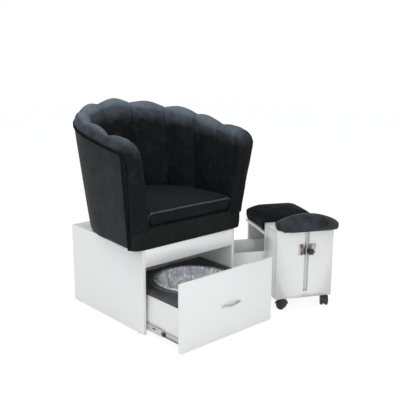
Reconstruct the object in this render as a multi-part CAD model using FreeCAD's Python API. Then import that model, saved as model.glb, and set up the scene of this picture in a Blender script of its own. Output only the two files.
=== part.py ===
import FreeCAD, Part
import math
import os

# Pedicure bench: tub chair on a platform, foot-bath drawer on telescopic slides,
# and a rolling stool with a height-adjustable footrest and a drawer of its own.
# Millimetres, +Z up, the chair faces -Y. The pieces are laid out about the middle of
# the platform's footprint and exported with the rear floor glide at the origin.

Vector = FreeCAD.Vector

# Platform
platform_width = 675
platform_depth = 710
platform_height = 480
board = 18
rail_height = 97
glide_height = 4
glide_radius = 8
glide_inset = 50
deck_bolt_radius = 4
deck_bolt_head = 8
deck_bolt_head_height = 5
deck_bolt_grip = 40
deck_bolt_spacing = 300
fit_clearance = 0.05
touch_gap = 0.3

# Foot-bath drawer
drawer_open = 288
drawer_front_bottom = 5
drawer_front_gap = 6
drawer_side = 15
drawer_side_bottom = 36
drawer_side_height = 192
drawer_length = 560
drawer_floor = 9
drawer_floor_rise = 12
basin_board_thickness = 18
basin_front_margin = 38
basin_flange_radius = 242
basin_rim_radius = 195
basin_floor_radius = 105
basin_depth = 140
basin_wall = 2
basin_flange_edge = 2.5
basin_rim_rise = 9
basin_rim_width = 6
basin_belly = 26
basin_hole_clearance = 1.5
liner_film = 0.5
liner_gap = 0.4
liner_lap = 22
handle_span = 128
handle_offset = 18
handle_bow = 17
handle_radius = 5.5
handle_drop = 7

# Telescopic slides
slide_width = 12.7
slide_length = 500
slide_centre_height = 52
slide_metal = 1.2
slide_outer_height = 45
slide_outer_flange = 10.5
slide_middle_height = 37
slide_middle_web_gap = 0.6
slide_middle_flange = 8.8
slide_inner_height = 29
slide_inner_flange = 8.4
slide_setback = 3
retainer_length = 120

# Chair
chair_front_setback = 25
chair_base_front_half = 390
chair_base_half = 370
chair_base_centre = -60
chair_base_back = 440
chair_seat_front_half = 291
chair_seat_half = 306
chair_seat_centre = -100
chair_seat_back = 312
chair_seat_line = 160
crest_half = 409
crest_centre = -10
crest_back = 384
rim_front_height = 592
rim_back_height = 741
rim_front_drop = 22
rim_curve_power = 1.5
roll_radius = 58
roll_outside_back = 37
roll_outside_front = 64
roll_widening_share = 0.45
seam_depth = 30
welt_seam_depth = 8
end_seam_depth = 5
channel_edge = 10
channel_pairs = 4
channel_roll_steps = 6
seam_clearance = 0.15
shell_thickness = 16
shell_top_gap = 2
frame_inside = 16
frame_outside = 2
frame_cap_inside = 12
frame_cap_outside = -2
frame_cap_height = 12
frame_setback = 44
seat_frame_height = 124
seat_frame_clearance = 1
arm_front_base_depth = 10
arm_front_top_depth = 37
arm_arch_height = 56
arm_arch_steps = 6
arm_front_steps = 3
arm_front_corner_share = 0.55
apron_depth = 14
apron_round = 8
cushion_clearance = 4
cushion_overhang = 38
cushion_height = 80
cushion_crown = 16
cushion_front_crown = 8
cushion_edge = 14
cushion_crown_inset = 190
cushion_edge_steps = 3
cushion_crown_steps = 4

# Stool
stool_x = 462.4
stool_y = -584.2
stool_turn = -26.6
stool_width = 360
stool_depth = 550
stool_back_overhang = 40
stool_bottom = 65
seat_board_height = 409
column_rise = 77
column_depth = 204
slot_width = 29
slot_offset = 10
slot_rise = 40
stool_cushion_height = 104
stool_cushion_overhang = 12
stool_cushion_crown = 30
stool_cushion_edge = 20
stool_cushion_crown_inset = 130
stool_cushion_corner = 24
tongue_recess = 9
tongue_depth = 131
tongue_thickness = 25
tongue_side_clearance = 1
tongue_bottom_rise = 3
footrest_board_thickness = 12
footrest_board_inset = 24
footrest_overhang = 62
footrest_depth = 167
footrest_left = 4
footrest_right_overhang = 24
footrest_edge = 36
footrest_edge_drop = 18
footrest_crown = 85
footrest_crown_drop = 46
footrest_corner = 40
footrest_end_run = 76
clamp_plate = 3
clamp_plate_width = 38
clamp_plate_height = 64
clamp_flange = 30
clamp_bar_thickness = 4
clamp_bar_height = 26
clamp_bolt_drop = 5
clamp_bolt_offset = 8
clamp_bolt_radius = 4
clamp_centre_drop = 119
clamp_nut_radius = 7.5
clamp_nut_width = 6
clamp_screw_radius = 4
clamp_screw_head = 1.5
clamp_screw_margin = 10
knob_radius = 14
knob_lobe_radius = 6.5
knob_lobes = 6
knob_thickness = 16
knob_hub_radius = 8
knob_hub_length = 6

# Stool drawer
tray_open = 215
tray_board = 12
tray_length = 330
tray_side_gap = 2
tray_height = 220
tray_notch_radius = 26

# Casters
caster_inset = 31
caster_plate_size = 44
caster_plate_thickness = 3
caster_screw_radius = 3
caster_screw_head = 1.5
caster_pin_radius = 5
caster_head_radius = 15
caster_head_height = 7
caster_wheel_radius = 27
caster_wheel_width = 18
caster_wheel_bevel = 3
caster_web = 9
caster_web_radius = 20
caster_web_gap = 0.5
caster_trail = 22
caster_axle_radius = 4
caster_hood_rise = 6
caster_hood_gap = 2.5
caster_hood_thickness = 5
caster_turns = {"front_left": 313, "front_right": 250, "back_left": 205, "back_right": 118}

overrun = 5

# Derived places
half_width = platform_width / 2
front_y = -platform_depth / 2
back_y = platform_depth / 2
side_inner_x = half_width - board
rail_bottom = platform_height - rail_height
drawer_back_face_y = front_y - drawer_open
drawer_half = side_inner_x - slide_width
drawer_end_y = drawer_back_face_y + drawer_length
drawer_side_top = drawer_side_bottom + drawer_side_height
basin_board_top = drawer_side_top + basin_board_thickness
basin_y = drawer_back_face_y + basin_front_margin + basin_flange_radius
basin_rim_top = basin_board_top + basin_rim_rise
basin_floor_z = basin_rim_top - basin_depth
chair_front_y = front_y + chair_front_setback
seat_line_z = platform_height + chair_seat_line
seat_frame_top = platform_height + seat_frame_height
stool_base_top = stool_bottom + board
seat_board_top = seat_board_height + board
stool_end = stool_depth - stool_back_overhang
column_height = seat_board_height + column_rise
slot_middle = stool_width / 2 + slot_offset
slot_left = slot_middle - slot_width / 2
slot_right = slot_left + slot_width
slot_bottom = stool_bottom + slot_rise
tongue_right = slot_right - tongue_side_clearance
tongue_left = tongue_right - tongue_thickness
clamp_centre_height = column_height - clamp_centre_drop
tongue_bottom = slot_bottom + tongue_bottom_rise
origin_y = back_y - board / 2

parts = {}


# Basic solids
def block(x, y, z):
    corner = Vector(x[0], y[0], z[0])
    return Part.makeBox(x[1] - x[0], y[1] - y[0], z[1] - z[0], corner)


def rod(radius, start, end):
    along = end - start
    return Part.makeCylinder(radius, along.Length, start, along)


def mirrored(shape):
    return shape.mirror(Vector(0, 0, 0), Vector(1, 0, 0))


def polygon(points):
    return Part.makePolygon(points + [points[0]])


def padded_section(back_a, side_a, crown, side_b, back_b):
    edges = [
        Part.LineSegment(back_a, side_a).toShape(),
        Part.Arc(side_a, crown, side_b).toShape(),
        Part.LineSegment(side_b, back_b).toShape(),
        Part.LineSegment(back_b, back_a).toShape(),
    ]
    return Part.Wire(edges)


def between(a, b, share):
    return a + (b - a) * share


# Platform carcase
def platform():
    for side, name in ((-1, "side_panel_left"), (1, "side_panel_right")):
        xs = sorted((side * half_width, side * side_inner_x))
        parts[name] = block(xs, (front_y, back_y), (glide_height, platform_height))
    inside = (-side_inner_x, side_inner_x)
    parts["back_panel"] = block(inside, (back_y - board, back_y), (glide_height, platform_height))
    parts["front_rail"] = block(inside, (front_y, front_y + board), (rail_bottom, platform_height))
    deck = block(inside, (front_y + board, back_y - board), (platform_height - board, platform_height))
    for x, y in deck_bolt_places():
        low = Vector(x, y, platform_height - board - overrun)
        high = Vector(x, y, platform_height + overrun)
        deck = deck.cut(rod(deck_bolt_radius + fit_clearance, low, high))
    parts["top_deck"] = deck
    glides = []
    for x in (-half_width + board / 2, half_width - board / 2):
        for y in (front_y + glide_inset, back_y - glide_inset):
            glides.append(rod(glide_radius, Vector(x, y, 0), Vector(x, y, glide_height)))
    rear = Vector(0, origin_y, 0)
    glides.append(rod(glide_radius, rear, rear + Vector(0, 0, glide_height)))
    parts["floor_glides"] = Part.makeCompound(glides)


def deck_bolt_places():
    reach = deck_bolt_spacing / 2
    return [(x, y) for x in (-reach, reach) for y in (-reach, reach)]


def chair_bolts():
    bolts = []
    under = platform_height - board
    for x, y in deck_bolt_places():
        shank = rod(deck_bolt_radius, Vector(x, y, under), Vector(x, y, under + deck_bolt_grip))
        head = rod(deck_bolt_head, Vector(x, y, under - deck_bolt_head_height), Vector(x, y, under))
        bolts.append(shank.fuse(head))
    parts["chair_bolts"] = Part.makeCompound(bolts)


# Telescopic slides: three nested channels on each side, opening towards the drawer
def slide_channel(web_x, flange_end_x, height, back, length):
    low = slide_centre_height - height / 2
    high = slide_centre_height + height / 2
    near, far = sorted((web_x, flange_end_x))
    outside = block((near, far), (back - length, back), (low, high))
    direction = 1 if flange_end_x > web_x else -1
    cut_x = sorted((web_x + direction * slide_metal, flange_end_x + direction * overrun))
    hollow = block(cut_x, (back - length - overrun, back + overrun), (low + slide_metal, high - slide_metal))
    return outside.cut(hollow)


def retainers(x, y, inner_z, outer_z):
    strips = []
    for low, high in ((inner_z, outer_z), (-outer_z, -inner_z)):
        z = (slide_centre_height + low, slide_centre_height + high)
        strips.append(block(x, y, z))
    return strips


def slides():
    outer_web = -side_inner_x
    outer_back = front_y + slide_setback + slide_length
    outer_end = outer_web + slide_outer_flange
    outer = slide_channel(outer_web, outer_end, slide_outer_height, outer_back, slide_length)
    middle_web = outer_web + slide_metal + slide_middle_web_gap
    middle_end = middle_web + slide_middle_flange
    middle_back = outer_back - drawer_open / 2
    middle = slide_channel(middle_web, middle_end, slide_middle_height, middle_back, slide_length)
    inner_web = -drawer_half
    inner_end = inner_web - slide_inner_flange
    inner_back = outer_back - drawer_open
    inner = slide_channel(inner_web, inner_end, slide_inner_height, inner_back, slide_length)
    ball_x = (inner_end, middle_end)
    outer_track = slide_outer_height / 2 - slide_metal - touch_gap
    rear_y = (middle_back - retainer_length, middle_back)
    for strip in retainers((middle_web, middle_end), rear_y, slide_middle_height / 2, outer_track):
        middle = middle.fuse(strip)
    inner_track = slide_middle_height / 2 - slide_metal
    front_end = middle_back - slide_length
    front_strip_y = (front_end, front_end + retainer_length)
    for strip in retainers(ball_x, front_strip_y, slide_inner_height / 2 + touch_gap, inner_track):
        middle = middle.fuse(strip)
    parts["slide_outers"] = Part.makeCompound([outer, mirrored(outer)])
    parts["slide_middles"] = Part.makeCompound([middle, mirrored(middle)])
    parts["slide_inners"] = Part.makeCompound([inner, mirrored(inner)])


# Foot-bath drawer
def drawer_box():
    face_y = (drawer_back_face_y - board, drawer_back_face_y)
    front_top = rail_bottom - drawer_front_gap
    parts["drawer_front"] = block((-half_width, half_width), face_y, (drawer_front_bottom, front_top))
    run_y = (drawer_back_face_y, drawer_end_y)
    side_z = (drawer_side_bottom, drawer_side_top)
    left = block((-drawer_half, -drawer_half + drawer_side), run_y, side_z)
    parts["drawer_side_left"] = left
    parts["drawer_side_right"] = mirrored(left)
    inside = (-drawer_half + drawer_side, drawer_half - drawer_side)
    parts["drawer_back"] = block(inside, (drawer_end_y - drawer_side, drawer_end_y), side_z)
    floor_bottom = drawer_side_bottom + drawer_floor_rise
    floor_y = (drawer_back_face_y, drawer_end_y - drawer_side)
    parts["drawer_bottom"] = block(inside, floor_y, (floor_bottom, floor_bottom + drawer_floor))
    panel = block((-drawer_half, drawer_half), run_y, (drawer_side_top, basin_board_top))
    hole_radius = basin_rim_radius + basin_wall + basin_hole_clearance
    low = Vector(0, basin_y, drawer_side_top - overrun)
    high = Vector(0, basin_y, basin_board_top + overrun)
    parts["basin_board"] = panel.cut(rod(hole_radius, low, high))


def drawer_handle():
    face = drawer_back_face_y - board
    z = (drawer_front_bottom + rail_bottom - drawer_front_gap) / 2 - handle_drop
    left = Vector(handle_offset - handle_span / 2, face + handle_radius, z)
    right = Vector(handle_offset + handle_span / 2, face + handle_radius, z)
    middle = Vector(handle_offset, face - handle_bow, z)
    path = Part.Wire([Part.Arc(left, middle, right).toShape()])
    bow_edge = path.Edges[0]
    start_direction = bow_edge.tangentAt(bow_edge.FirstParameter)
    ring = Part.Wire([Part.makeCircle(handle_radius, left, start_direction)])
    bow = path.makePipeShell([ring], True, False)
    reach = handle_span + handle_bow
    front_space = block((-reach, reach), (face - reach, face), (z - reach, z + reach))
    parts["drawer_handle"] = bow.common(front_space)


def revolved(edges, centre_y):
    face = Part.Face(Part.Wire(edges))
    axis_point = Vector(0, 0, 0)
    solid = face.revolve(axis_point, Vector(0, 0, 1), 360)
    solid.translate(Vector(0, centre_y, 0))
    return solid


def bowl_curve(offset, rim_z):
    floor_end = Vector(basin_floor_radius - offset / 2, 0, basin_floor_z + offset)
    rim = Vector(basin_rim_radius - offset, 0, rim_z)
    belly = between(floor_end, rim, 0.5)
    outward = Vector(rim.z - floor_end.z, 0, floor_end.x - rim.x).normalize()
    return floor_end, belly + outward * basin_belly, rim


def line(a, b):
    return Part.LineSegment(a, b).toShape()


def arc(points):
    return Part.Arc(*points).toShape()


def foot_basin():
    inner = bowl_curve(0, basin_rim_top)
    outer = bowl_curve(-basin_wall, basin_board_top)
    floor_centre = Vector(0, 0, basin_floor_z)
    under_centre = Vector(0, 0, basin_floor_z - basin_wall)
    rim_outside = inner[2] + Vector(basin_rim_width, 0, 0)
    flange_top = Vector(basin_flange_radius, 0, basin_board_top + basin_flange_edge)
    flange_foot = Vector(basin_flange_radius, 0, basin_board_top)
    edges = [
        line(floor_centre, inner[0]),
        arc(inner),
        line(inner[2], rim_outside),
        line(rim_outside, flange_top),
        line(flange_top, flange_foot),
        line(flange_foot, outer[2]),
        arc(outer[::-1]),
        line(outer[0], under_centre),
        line(under_centre, floor_centre),
    ]
    parts["foot_basin"] = revolved(edges, basin_y)


def basin_liner():
    outside = bowl_curve(liner_gap, basin_rim_top)
    inside = bowl_curve(liner_gap + liner_film, basin_rim_top)
    rise = Vector(0, 0, liner_gap)
    film_rise = Vector(0, 0, liner_gap + liner_film)
    rim_outer = Vector(basin_rim_radius + basin_rim_width, 0, basin_rim_top)
    slope_drop = (basin_rim_rise - basin_flange_edge) / (basin_flange_radius - rim_outer.x)
    lap_end = rim_outer + Vector(liner_lap, 0, -liner_lap * slope_drop)
    edges = [
        line(Vector(0, 0, outside[0].z), outside[0]),
        arc(outside),
        line(outside[2], outside[2] + rise),
        line(outside[2] + rise, rim_outer + rise),
        line(rim_outer + rise, lap_end + rise),
        line(lap_end + rise, lap_end + film_rise),
        line(lap_end + film_rise, rim_outer + film_rise),
        line(rim_outer + film_rise, inside[2] + film_rise),
        line(inside[2] + film_rise, inside[2]),
        arc(inside[::-1]),
        line(inside[0], Vector(0, 0, inside[0].z)),
        line(Vector(0, 0, inside[0].z), Vector(0, 0, outside[0].z)),
    ]
    parts["basin_liner"] = revolved(edges, basin_y)


# Chair plan curves: straight sides that run into half an ellipse at the back.
# A share runs from -1 at the left arm front over 0 at the back centre to 1.
base_plan = (chair_base_front_half, chair_base_half, chair_base_centre, chair_base_back)
seat_plan = (chair_seat_front_half, chair_seat_half, chair_seat_centre, chair_seat_back)
crest_plan = (crest_half, crest_half, crest_centre, crest_back)


def plan_lengths(plan):
    straight = plan[2] - chair_front_y
    quarter = math.pi / 2 * math.sqrt((plan[1] ** 2 + plan[3] ** 2) / 2)
    return straight, quarter


def plan_point(plan, share):
    front_half, half, centre, back = plan
    straight, quarter = plan_lengths(plan)
    along = abs(share) * (straight + quarter)
    side = 1 if share > 0 else -1
    if along < quarter:
        angle = along / quarter * math.pi / 2
        return Vector(side * half * math.sin(angle), centre + back * math.cos(angle), 0)
    run = (along - quarter) / straight
    return Vector(side * (half + (front_half - half) * run), centre - straight * run, 0)


def outward(share):
    straight, quarter = plan_lengths(crest_plan)
    along = abs(share) * (straight + quarter)
    side = 1 if share > 0 else -1
    if along >= quarter:
        return Vector(side, 0, 0)
    angle = along / quarter * math.pi / 2
    normal = Vector(side * math.sin(angle) / crest_half, math.cos(angle) / crest_back, 0)
    return normal.normalize()


def seam_shares():
    half_length = sum(plan_lengths(crest_plan))
    pitch = (half_length + arm_front_top_depth) / (channel_pairs + 0.5)
    inner = [(k + 0.5) * pitch / half_length for k in range(channel_pairs)]
    return inner + [1]


def rim_height(share):
    seams = seam_shares()
    drop_start = (seams[-1] + seams[-2]) / 2
    rise = (rim_back_height - rim_front_height) * math.cos(abs(share) * math.pi / 2) ** rim_curve_power
    drop = rim_front_drop * (max(0, abs(share) - drop_start) / (1 - drop_start)) ** 2
    return platform_height + rim_front_height + rise - drop


def roll_height(share):
    return rim_height(share) - roll_radius


# A point of the inside face: offset is how far it lies behind the padded crown
def inside_point(share, offset, height_share):
    low = plan_point(seat_plan, share) + outward(share) * offset
    low.z = seat_line_z
    high = plan_point(crest_plan, share) - outward(share) * (roll_radius - offset)
    high.z = roll_height(share)
    return between(low, high, height_share)


def inside_point_at(share, offset, z):
    return inside_point(share, offset, (z - seat_line_z) / (roll_height(share) - seat_line_z))


# How far the roll stands out on its outside: slim round the back, full at the arm fronts
def roll_outside(share):
    widening = max(0, abs(share) - roll_widening_share) / (1 - roll_widening_share)
    return roll_outside_back + (roll_outside_front - roll_outside_back) * widening


# A point round the rolled rim: 0 degrees faces the seat, 180 degrees the outside
def roll_point(share, radius, degrees):
    angle = math.radians(degrees)
    reach = radius * math.cos(angle)
    if degrees > 90:
        reach *= roll_outside(share) / roll_radius
    point = plan_point(crest_plan, share) - outward(share) * reach
    point.z = roll_height(share) + radius * math.sin(angle)
    return point


# How deep the seams beside a channel lie; the outermost channels run out full to the arm fronts
def border_depth(share):
    return end_seam_depth if abs(share) == 1 else seam_depth


def seam_radius(depth, degrees):
    past_top = max(0, degrees - 90) / 90
    return roll_radius - depth + past_top * max(0, depth - welt_seam_depth)


def levelled(points):
    first, last = points[1], points[3]
    run = Vector(last.x - first.x, last.y - first.y, 0)
    slope = (last.z - first.z) / run.Length
    along = run.normalize()
    for point in points:
        point.z = first.z + slope * (point - first).dot(along)
    return points


def channel(start, end):
    middle = (start + end) / 2
    depths = (border_depth(start), border_depth(end))
    gap = seam_clearance / sum(plan_lengths(crest_plan))
    start += gap
    end -= gap
    behind = seam_depth + channel_edge
    bottom = seat_frame_top + touch_gap
    foot = ((start, behind), (start, depths[0]), (middle, 0), (end, depths[1]), (end, behind))
    sections = [padded_section(*[inside_point_at(share, offset, bottom) for share, offset in foot])]
    for step in range(channel_roll_steps + 1):
        degrees = 180 * step / channel_roll_steps
        back = seam_radius(seam_depth, degrees) - channel_edge
        seams = [seam_radius(depth, degrees) for depth in depths]
        ring = ((start, back), (start, seams[0]), (middle, roll_radius), (end, seams[1]), (end, back))
        points = [roll_point(share, radius, degrees) for share, radius in ring]
        if step == channel_roll_steps:
            points = levelled(points)
        sections.append(padded_section(*points))
    return Part.makeLoft(sections, True, True)


def channels():
    seams = seam_shares()
    borders = [-share for share in reversed(seams)] + seams
    for number in range(2 * channel_pairs + 1):
        parts["back_channel_%d" % (number + 1)] = channel(borders[number], borders[number + 1])


# Stations along the rim at the seams and half way between them, each with the height of
# the channels' lower edge, which runs straight from seam to seam
def rim_stations():
    seams = seam_shares()
    borders = [-share for share in reversed(seams)] + seams
    stations = [(borders[0], roll_height(borders[0]))]
    for start, end in zip(borders, borders[1:]):
        middle_height = (roll_height(start) + roll_height(end)) / 2
        stations += [((start + end) / 2, middle_height), (end, roll_height(end))]
    return stations


def at_height(point, z):
    return Vector(point.x, point.y, z)


def outer_shell():
    sections = []
    for share, edge_height in rim_stations():
        top = edge_height - shell_top_gap
        base_outer = at_height(plan_point(base_plan, share), platform_height)
        base_inner = base_outer - outward(share) * shell_thickness
        top_outer = at_height(roll_point(share, roll_radius, 180), top)
        top_inner = top_outer - outward(share) * shell_thickness
        sections.append(polygon([base_outer, top_outer, top_inner, base_inner]))
    parts["outer_shell"] = Part.makeLoft(sections, True, False)


def back_frame():
    sections = []
    for share, top in rim_stations():
        normal = outward(share)
        crest = plan_point(crest_plan, share)
        base_point = plan_point(base_plan, share) - normal * (shell_thickness + touch_gap)
        base_outer = at_height(base_point, platform_height)
        shoulder = at_height(crest + normal * frame_outside, top)
        cap_outer = at_height(crest + normal * frame_cap_outside, top + frame_cap_height)
        cap_inner = at_height(crest - normal * frame_cap_inside, top + frame_cap_height)
        inner_top = at_height(crest - normal * frame_inside, top)
        seat_level = inside_point_at(share, frame_setback, seat_frame_top)
        base_inner = at_height(seat_level, platform_height)
        outside = [base_outer, shoulder, cap_outer]
        sections.append(polygon(outside + [cap_inner, inner_top, seat_level, base_inner]))
    parts["back_frame"] = Part.makeLoft(sections, True, False)


def seat_frame():
    rim = []
    for share, edge_height in rim_stations():
        point = inside_point_at(share, frame_setback - seat_frame_clearance, seat_frame_top)
        rim.append(at_height(point, platform_height))
    curve = Part.BSplineCurve()
    curve.interpolate(rim)
    front = Part.LineSegment(rim[-1], rim[0])
    outline = Part.Face(Part.Wire([curve.toShape(), front.toShape()]))
    solid = outline.extrude(Vector(0, 0, seat_frame_height))
    top = platform_height - board + deck_bolt_grip + overrun
    for x, y in deck_bolt_places():
        low = Vector(x, y, platform_height - overrun)
        solid = solid.cut(rod(deck_bolt_radius + fit_clearance, low, Vector(x, y, top)))
    parts["seat_frame"] = solid


# Padded front of an arm: leans forward, widens upwards and closes in an arch
def arm_front():
    sections = []
    back = chair_front_y - touch_gap
    top = roll_height(1)
    outside = roll_outside(1)
    for step in range(arm_front_steps + 1):
        share = step / arm_front_steps
        z = platform_height + (top - platform_height) * share
        inner = inside_point_at(1, 0, z).x
        outer = chair_base_front_half + (crest_half + outside - chair_base_front_half) * share
        depth = arm_front_base_depth + (arm_front_top_depth - arm_front_base_depth) * share
        sections.append(arm_section(inner, outer, z, back, depth))
    for step in range(1, arm_arch_steps):
        angle = math.pi / 2 * step / arm_arch_steps
        inner = crest_half - roll_radius * math.cos(angle)
        outer = crest_half + outside * math.cos(angle)
        z = top + arm_arch_height * math.sin(angle)
        depth = arm_front_top_depth * math.sqrt(math.cos(angle))
        sections.append(arm_section(inner, outer, z, back, depth))
    solid = Part.makeLoft(sections, True, True)
    parts["arm_front_right"] = solid
    parts["arm_front_left"] = mirrored(solid)


def arm_section(inner, outer, z, back, depth):
    corner = back - depth * arm_front_corner_share
    return padded_section(
        Vector(inner, back, z),
        Vector(inner, corner, z),
        Vector((inner + outer) / 2, back - depth, z),
        Vector(outer, corner, z),
        Vector(outer, back, z),
    )


def front_apron():
    back = chair_front_y - touch_gap
    top = seat_frame_top
    levels = (
        (platform_height, apron_depth),
        (top - apron_round, apron_depth),
        (top, apron_depth - apron_round / 2),
    )
    sections = []
    for z, depth in levels:
        half = inside_point_at(1, 0, z).x - touch_gap
        corner = back - depth * arm_front_corner_share
        sections.append(padded_section(
            Vector(-half, back, z),
            Vector(-half, corner, z),
            Vector(0, back - depth, z),
            Vector(half, corner, z),
            Vector(half, back, z),
        ))
    parts["front_apron"] = Part.makeLoft(sections, True, True)


# Loose seat cushion: outline of lines and arcs, drawn in at the bottom and crowned on top
def cushion_section(z, inset):
    straight, quarter = plan_lengths(seat_plan)
    turn = quarter / (straight + quarter)
    reach = -cushion_clearance - inset
    side = inside_point_at(turn, reach, z)
    bend = inside_point_at(turn / 2, reach, z)
    back = inside_point_at(0, reach, z)
    front_x = inside_point_at(1, reach, z).x
    front = chair_front_y - cushion_overhang + inset
    left = [Vector(-p.x, p.y, p.z) for p in (side, bend)]
    front_right = Vector(front_x, front, z)
    front_left = Vector(-front_x, front, z)
    nose = Vector(0, front - cushion_front_crown, z)
    edges = [
        arc((front_left, nose, front_right)),
        line(front_right, side),
        arc((side, bend, Vector(0, back.y, z))),
        arc((Vector(0, back.y, z), left[1], left[0])),
        line(left[0], front_left),
    ]
    return Part.Wire(edges)


# Heights and insets of a cushion's sections: a rounded bottom edge, a rounded top edge
# and a crown that falls away from the middle
def cushion_levels(bottom, height, edge, crown, crown_inset):
    levels = []
    for step in range(cushion_edge_steps):
        angle = math.pi / 2 * step / cushion_edge_steps
        levels.append((bottom + edge * (1 - math.cos(angle)), edge * (1 - math.sin(angle))))
    top = bottom + height
    for step in range(cushion_edge_steps + 1):
        angle = math.pi / 2 * step / cushion_edge_steps
        levels.append((top - edge * (1 - math.sin(angle)), edge * (1 - math.cos(angle))))
    for step in range(1, cushion_crown_steps + 1):
        share = step / cushion_crown_steps
        levels.append((top + crown * (1 - (1 - share) ** 2), edge + crown_inset * share))
    return levels


def seat_cushion():
    bottom = seat_frame_top + touch_gap
    levels = cushion_levels(bottom, cushion_height, cushion_edge, cushion_crown, cushion_crown_inset)
    sections = [cushion_section(z, inset) for z, inset in levels]
    parts["seat_cushion"] = Part.makeLoft(sections, True, True)


# Stool carcase, laid out from its front left corner on the floor
def stool_carcase():
    slot_z = (slot_bottom, column_height + overrun)
    slot = block((slot_left, slot_right), (-overrun, board + overrun), slot_z)
    halves = {"stool_front_left": (0, slot_middle), "stool_front_right": (slot_middle, stool_width)}
    for name, x in halves.items():
        half = block(x, (0, board), (stool_bottom, column_height))
        parts[name] = half.cut(slot)
    inner_x = (0, stool_width - board)
    right_x = (stool_width - board, stool_width)
    parts["stool_base"] = block(inner_x, (board, stool_end), (stool_bottom, stool_base_top))
    column_under = column_height - board
    left_y = (board, column_depth - board)
    parts["stool_side_left"] = block((0, board), left_y, (stool_base_top, column_under))
    tall = block(right_x, (board, column_depth), (stool_bottom, column_under))
    low = block(right_x, (column_depth, stool_end), (stool_bottom, seat_board_height))
    parts["stool_side_right"] = tall.fuse(low).removeSplitter()
    divider_y = (column_depth - board, column_depth)
    parts["stool_divider"] = block(inner_x, divider_y, (stool_base_top, column_under))
    back_y_range = (stool_end - board, stool_end)
    parts["stool_back"] = block(inner_x, back_y_range, (stool_base_top, seat_board_height))
    top = block((0, stool_width), (board, column_depth), (column_under, column_height))
    notch_y = (board - overrun, tongue_recess + tongue_depth + tongue_side_clearance)
    notch = block((slot_left, slot_right), notch_y, (column_under - overrun, column_height + overrun))
    parts["stool_top"] = top.cut(notch)
    seat = block((0, stool_width), (column_depth, stool_depth), (seat_board_height, seat_board_top))
    parts["stool_seat_board"] = seat


# Pad outline in plan with rounded corners, inset evenly
def pad_section(x, y, z, inset, corner, bow):
    x0, x1 = x[0] + inset, x[1] - inset
    y0, y1 = y[0] + inset, y[1] - inset
    cut = corner * (1 - math.sqrt(0.5))
    middle_x = (x0 + x1) / 2
    edges = [
        arc((Vector(x0 + corner, y0, z), Vector(middle_x, y0 - bow, z), Vector(x1 - corner, y0, z))),
        arc((Vector(x1 - corner, y0, z), Vector(x1 - cut, y0 + cut, z), Vector(x1, y0 + corner, z))),
        line(Vector(x1, y0 + corner, z), Vector(x1, y1 - corner, z)),
        arc((Vector(x1, y1 - corner, z), Vector(x1 - cut, y1 - cut, z), Vector(x1 - corner, y1, z))),
        arc((Vector(x1 - corner, y1, z), Vector(middle_x, y1 + bow, z), Vector(x0 + corner, y1, z))),
        arc((Vector(x0 + corner, y1, z), Vector(x0 + cut, y1 - cut, z), Vector(x0, y1 - corner, z))),
        line(Vector(x0, y1 - corner, z), Vector(x0, y0 + corner, z)),
        arc((Vector(x0, y0 + corner, z), Vector(x0 + cut, y0 + cut, z), Vector(x0 + corner, y0, z))),
    ]
    return Part.Wire(edges)


def stool_cushion():
    x = (-stool_cushion_overhang, stool_width)
    y = (column_depth + touch_gap, stool_depth + stool_cushion_overhang)
    bottom = seat_board_top + touch_gap
    height = stool_cushion_height - stool_cushion_crown
    inset_limit = stool_cushion_crown_inset
    levels = cushion_levels(bottom, height, stool_cushion_edge, stool_cushion_crown, inset_limit)
    sections = [pad_section(x, y, z, inset, stool_cushion_corner, touch_gap / 2) for z, inset in levels]
    parts["stool_seat_cushion"] = Part.makeLoft(sections, True, True)


# Footrest: a tongue in the slot, a board, and a pad arched across its width
def footrest():
    tongue_y = (tongue_recess, tongue_recess + tongue_depth)
    rest_z = column_height + touch_gap
    parts["footrest_tongue"] = block((tongue_left, tongue_right), tongue_y, (tongue_bottom, rest_z))
    pad_x = (footrest_left, stool_width + footrest_right_overhang)
    pad_y = (-footrest_overhang, footrest_depth - footrest_overhang)
    inset = footrest_board_inset
    board_z = (rest_z, rest_z + footrest_board_thickness)
    board_x = (pad_x[0] + inset, pad_x[1] - inset)
    board_y = (pad_y[0] + inset, pad_y[1] - inset)
    parts["footrest_board"] = block(board_x, board_y, board_z)
    pocket_x = (board_x[0] - touch_gap, board_x[1] + touch_gap)
    pocket_y = (board_y[0] - touch_gap, board_y[1] + touch_gap)
    pocket = block(pocket_x, pocket_y, (rest_z - overrun, board_z[1] + touch_gap))
    parts["footrest_pad"] = arched_pad(pad_x, pad_y, rest_z).cut(pocket)


def arched_pad(x, y, bottom):
    sections = []
    for step in range(cushion_edge_steps + 1):
        sections.append((y[0], 1, step))
    for step in reversed(range(cushion_edge_steps + 1)):
        sections.append((y[1], -1, step))
    wires = []
    for end, side, step in sections:
        angle = math.pi / 2 * step / cushion_edge_steps
        shrinkage = 1 - math.sin(angle)
        place = end + side * footrest_end_run * (1 - math.cos(angle))
        edge_top = bottom + footrest_edge - footrest_edge_drop * shrinkage
        crown_top = bottom + footrest_crown - footrest_crown_drop * shrinkage
        x0 = x[0] + footrest_corner * shrinkage
        x1 = x[1] - footrest_corner * shrinkage
        wires.append(padded_section(
            Vector(x0, place, bottom),
            Vector(x0, place, edge_top),
            Vector((x0 + x1) / 2, place, crown_top),
            Vector(x1, place, edge_top),
            Vector(x1, place, bottom),
        ))
    return Part.makeLoft(wires, True, True)


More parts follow.
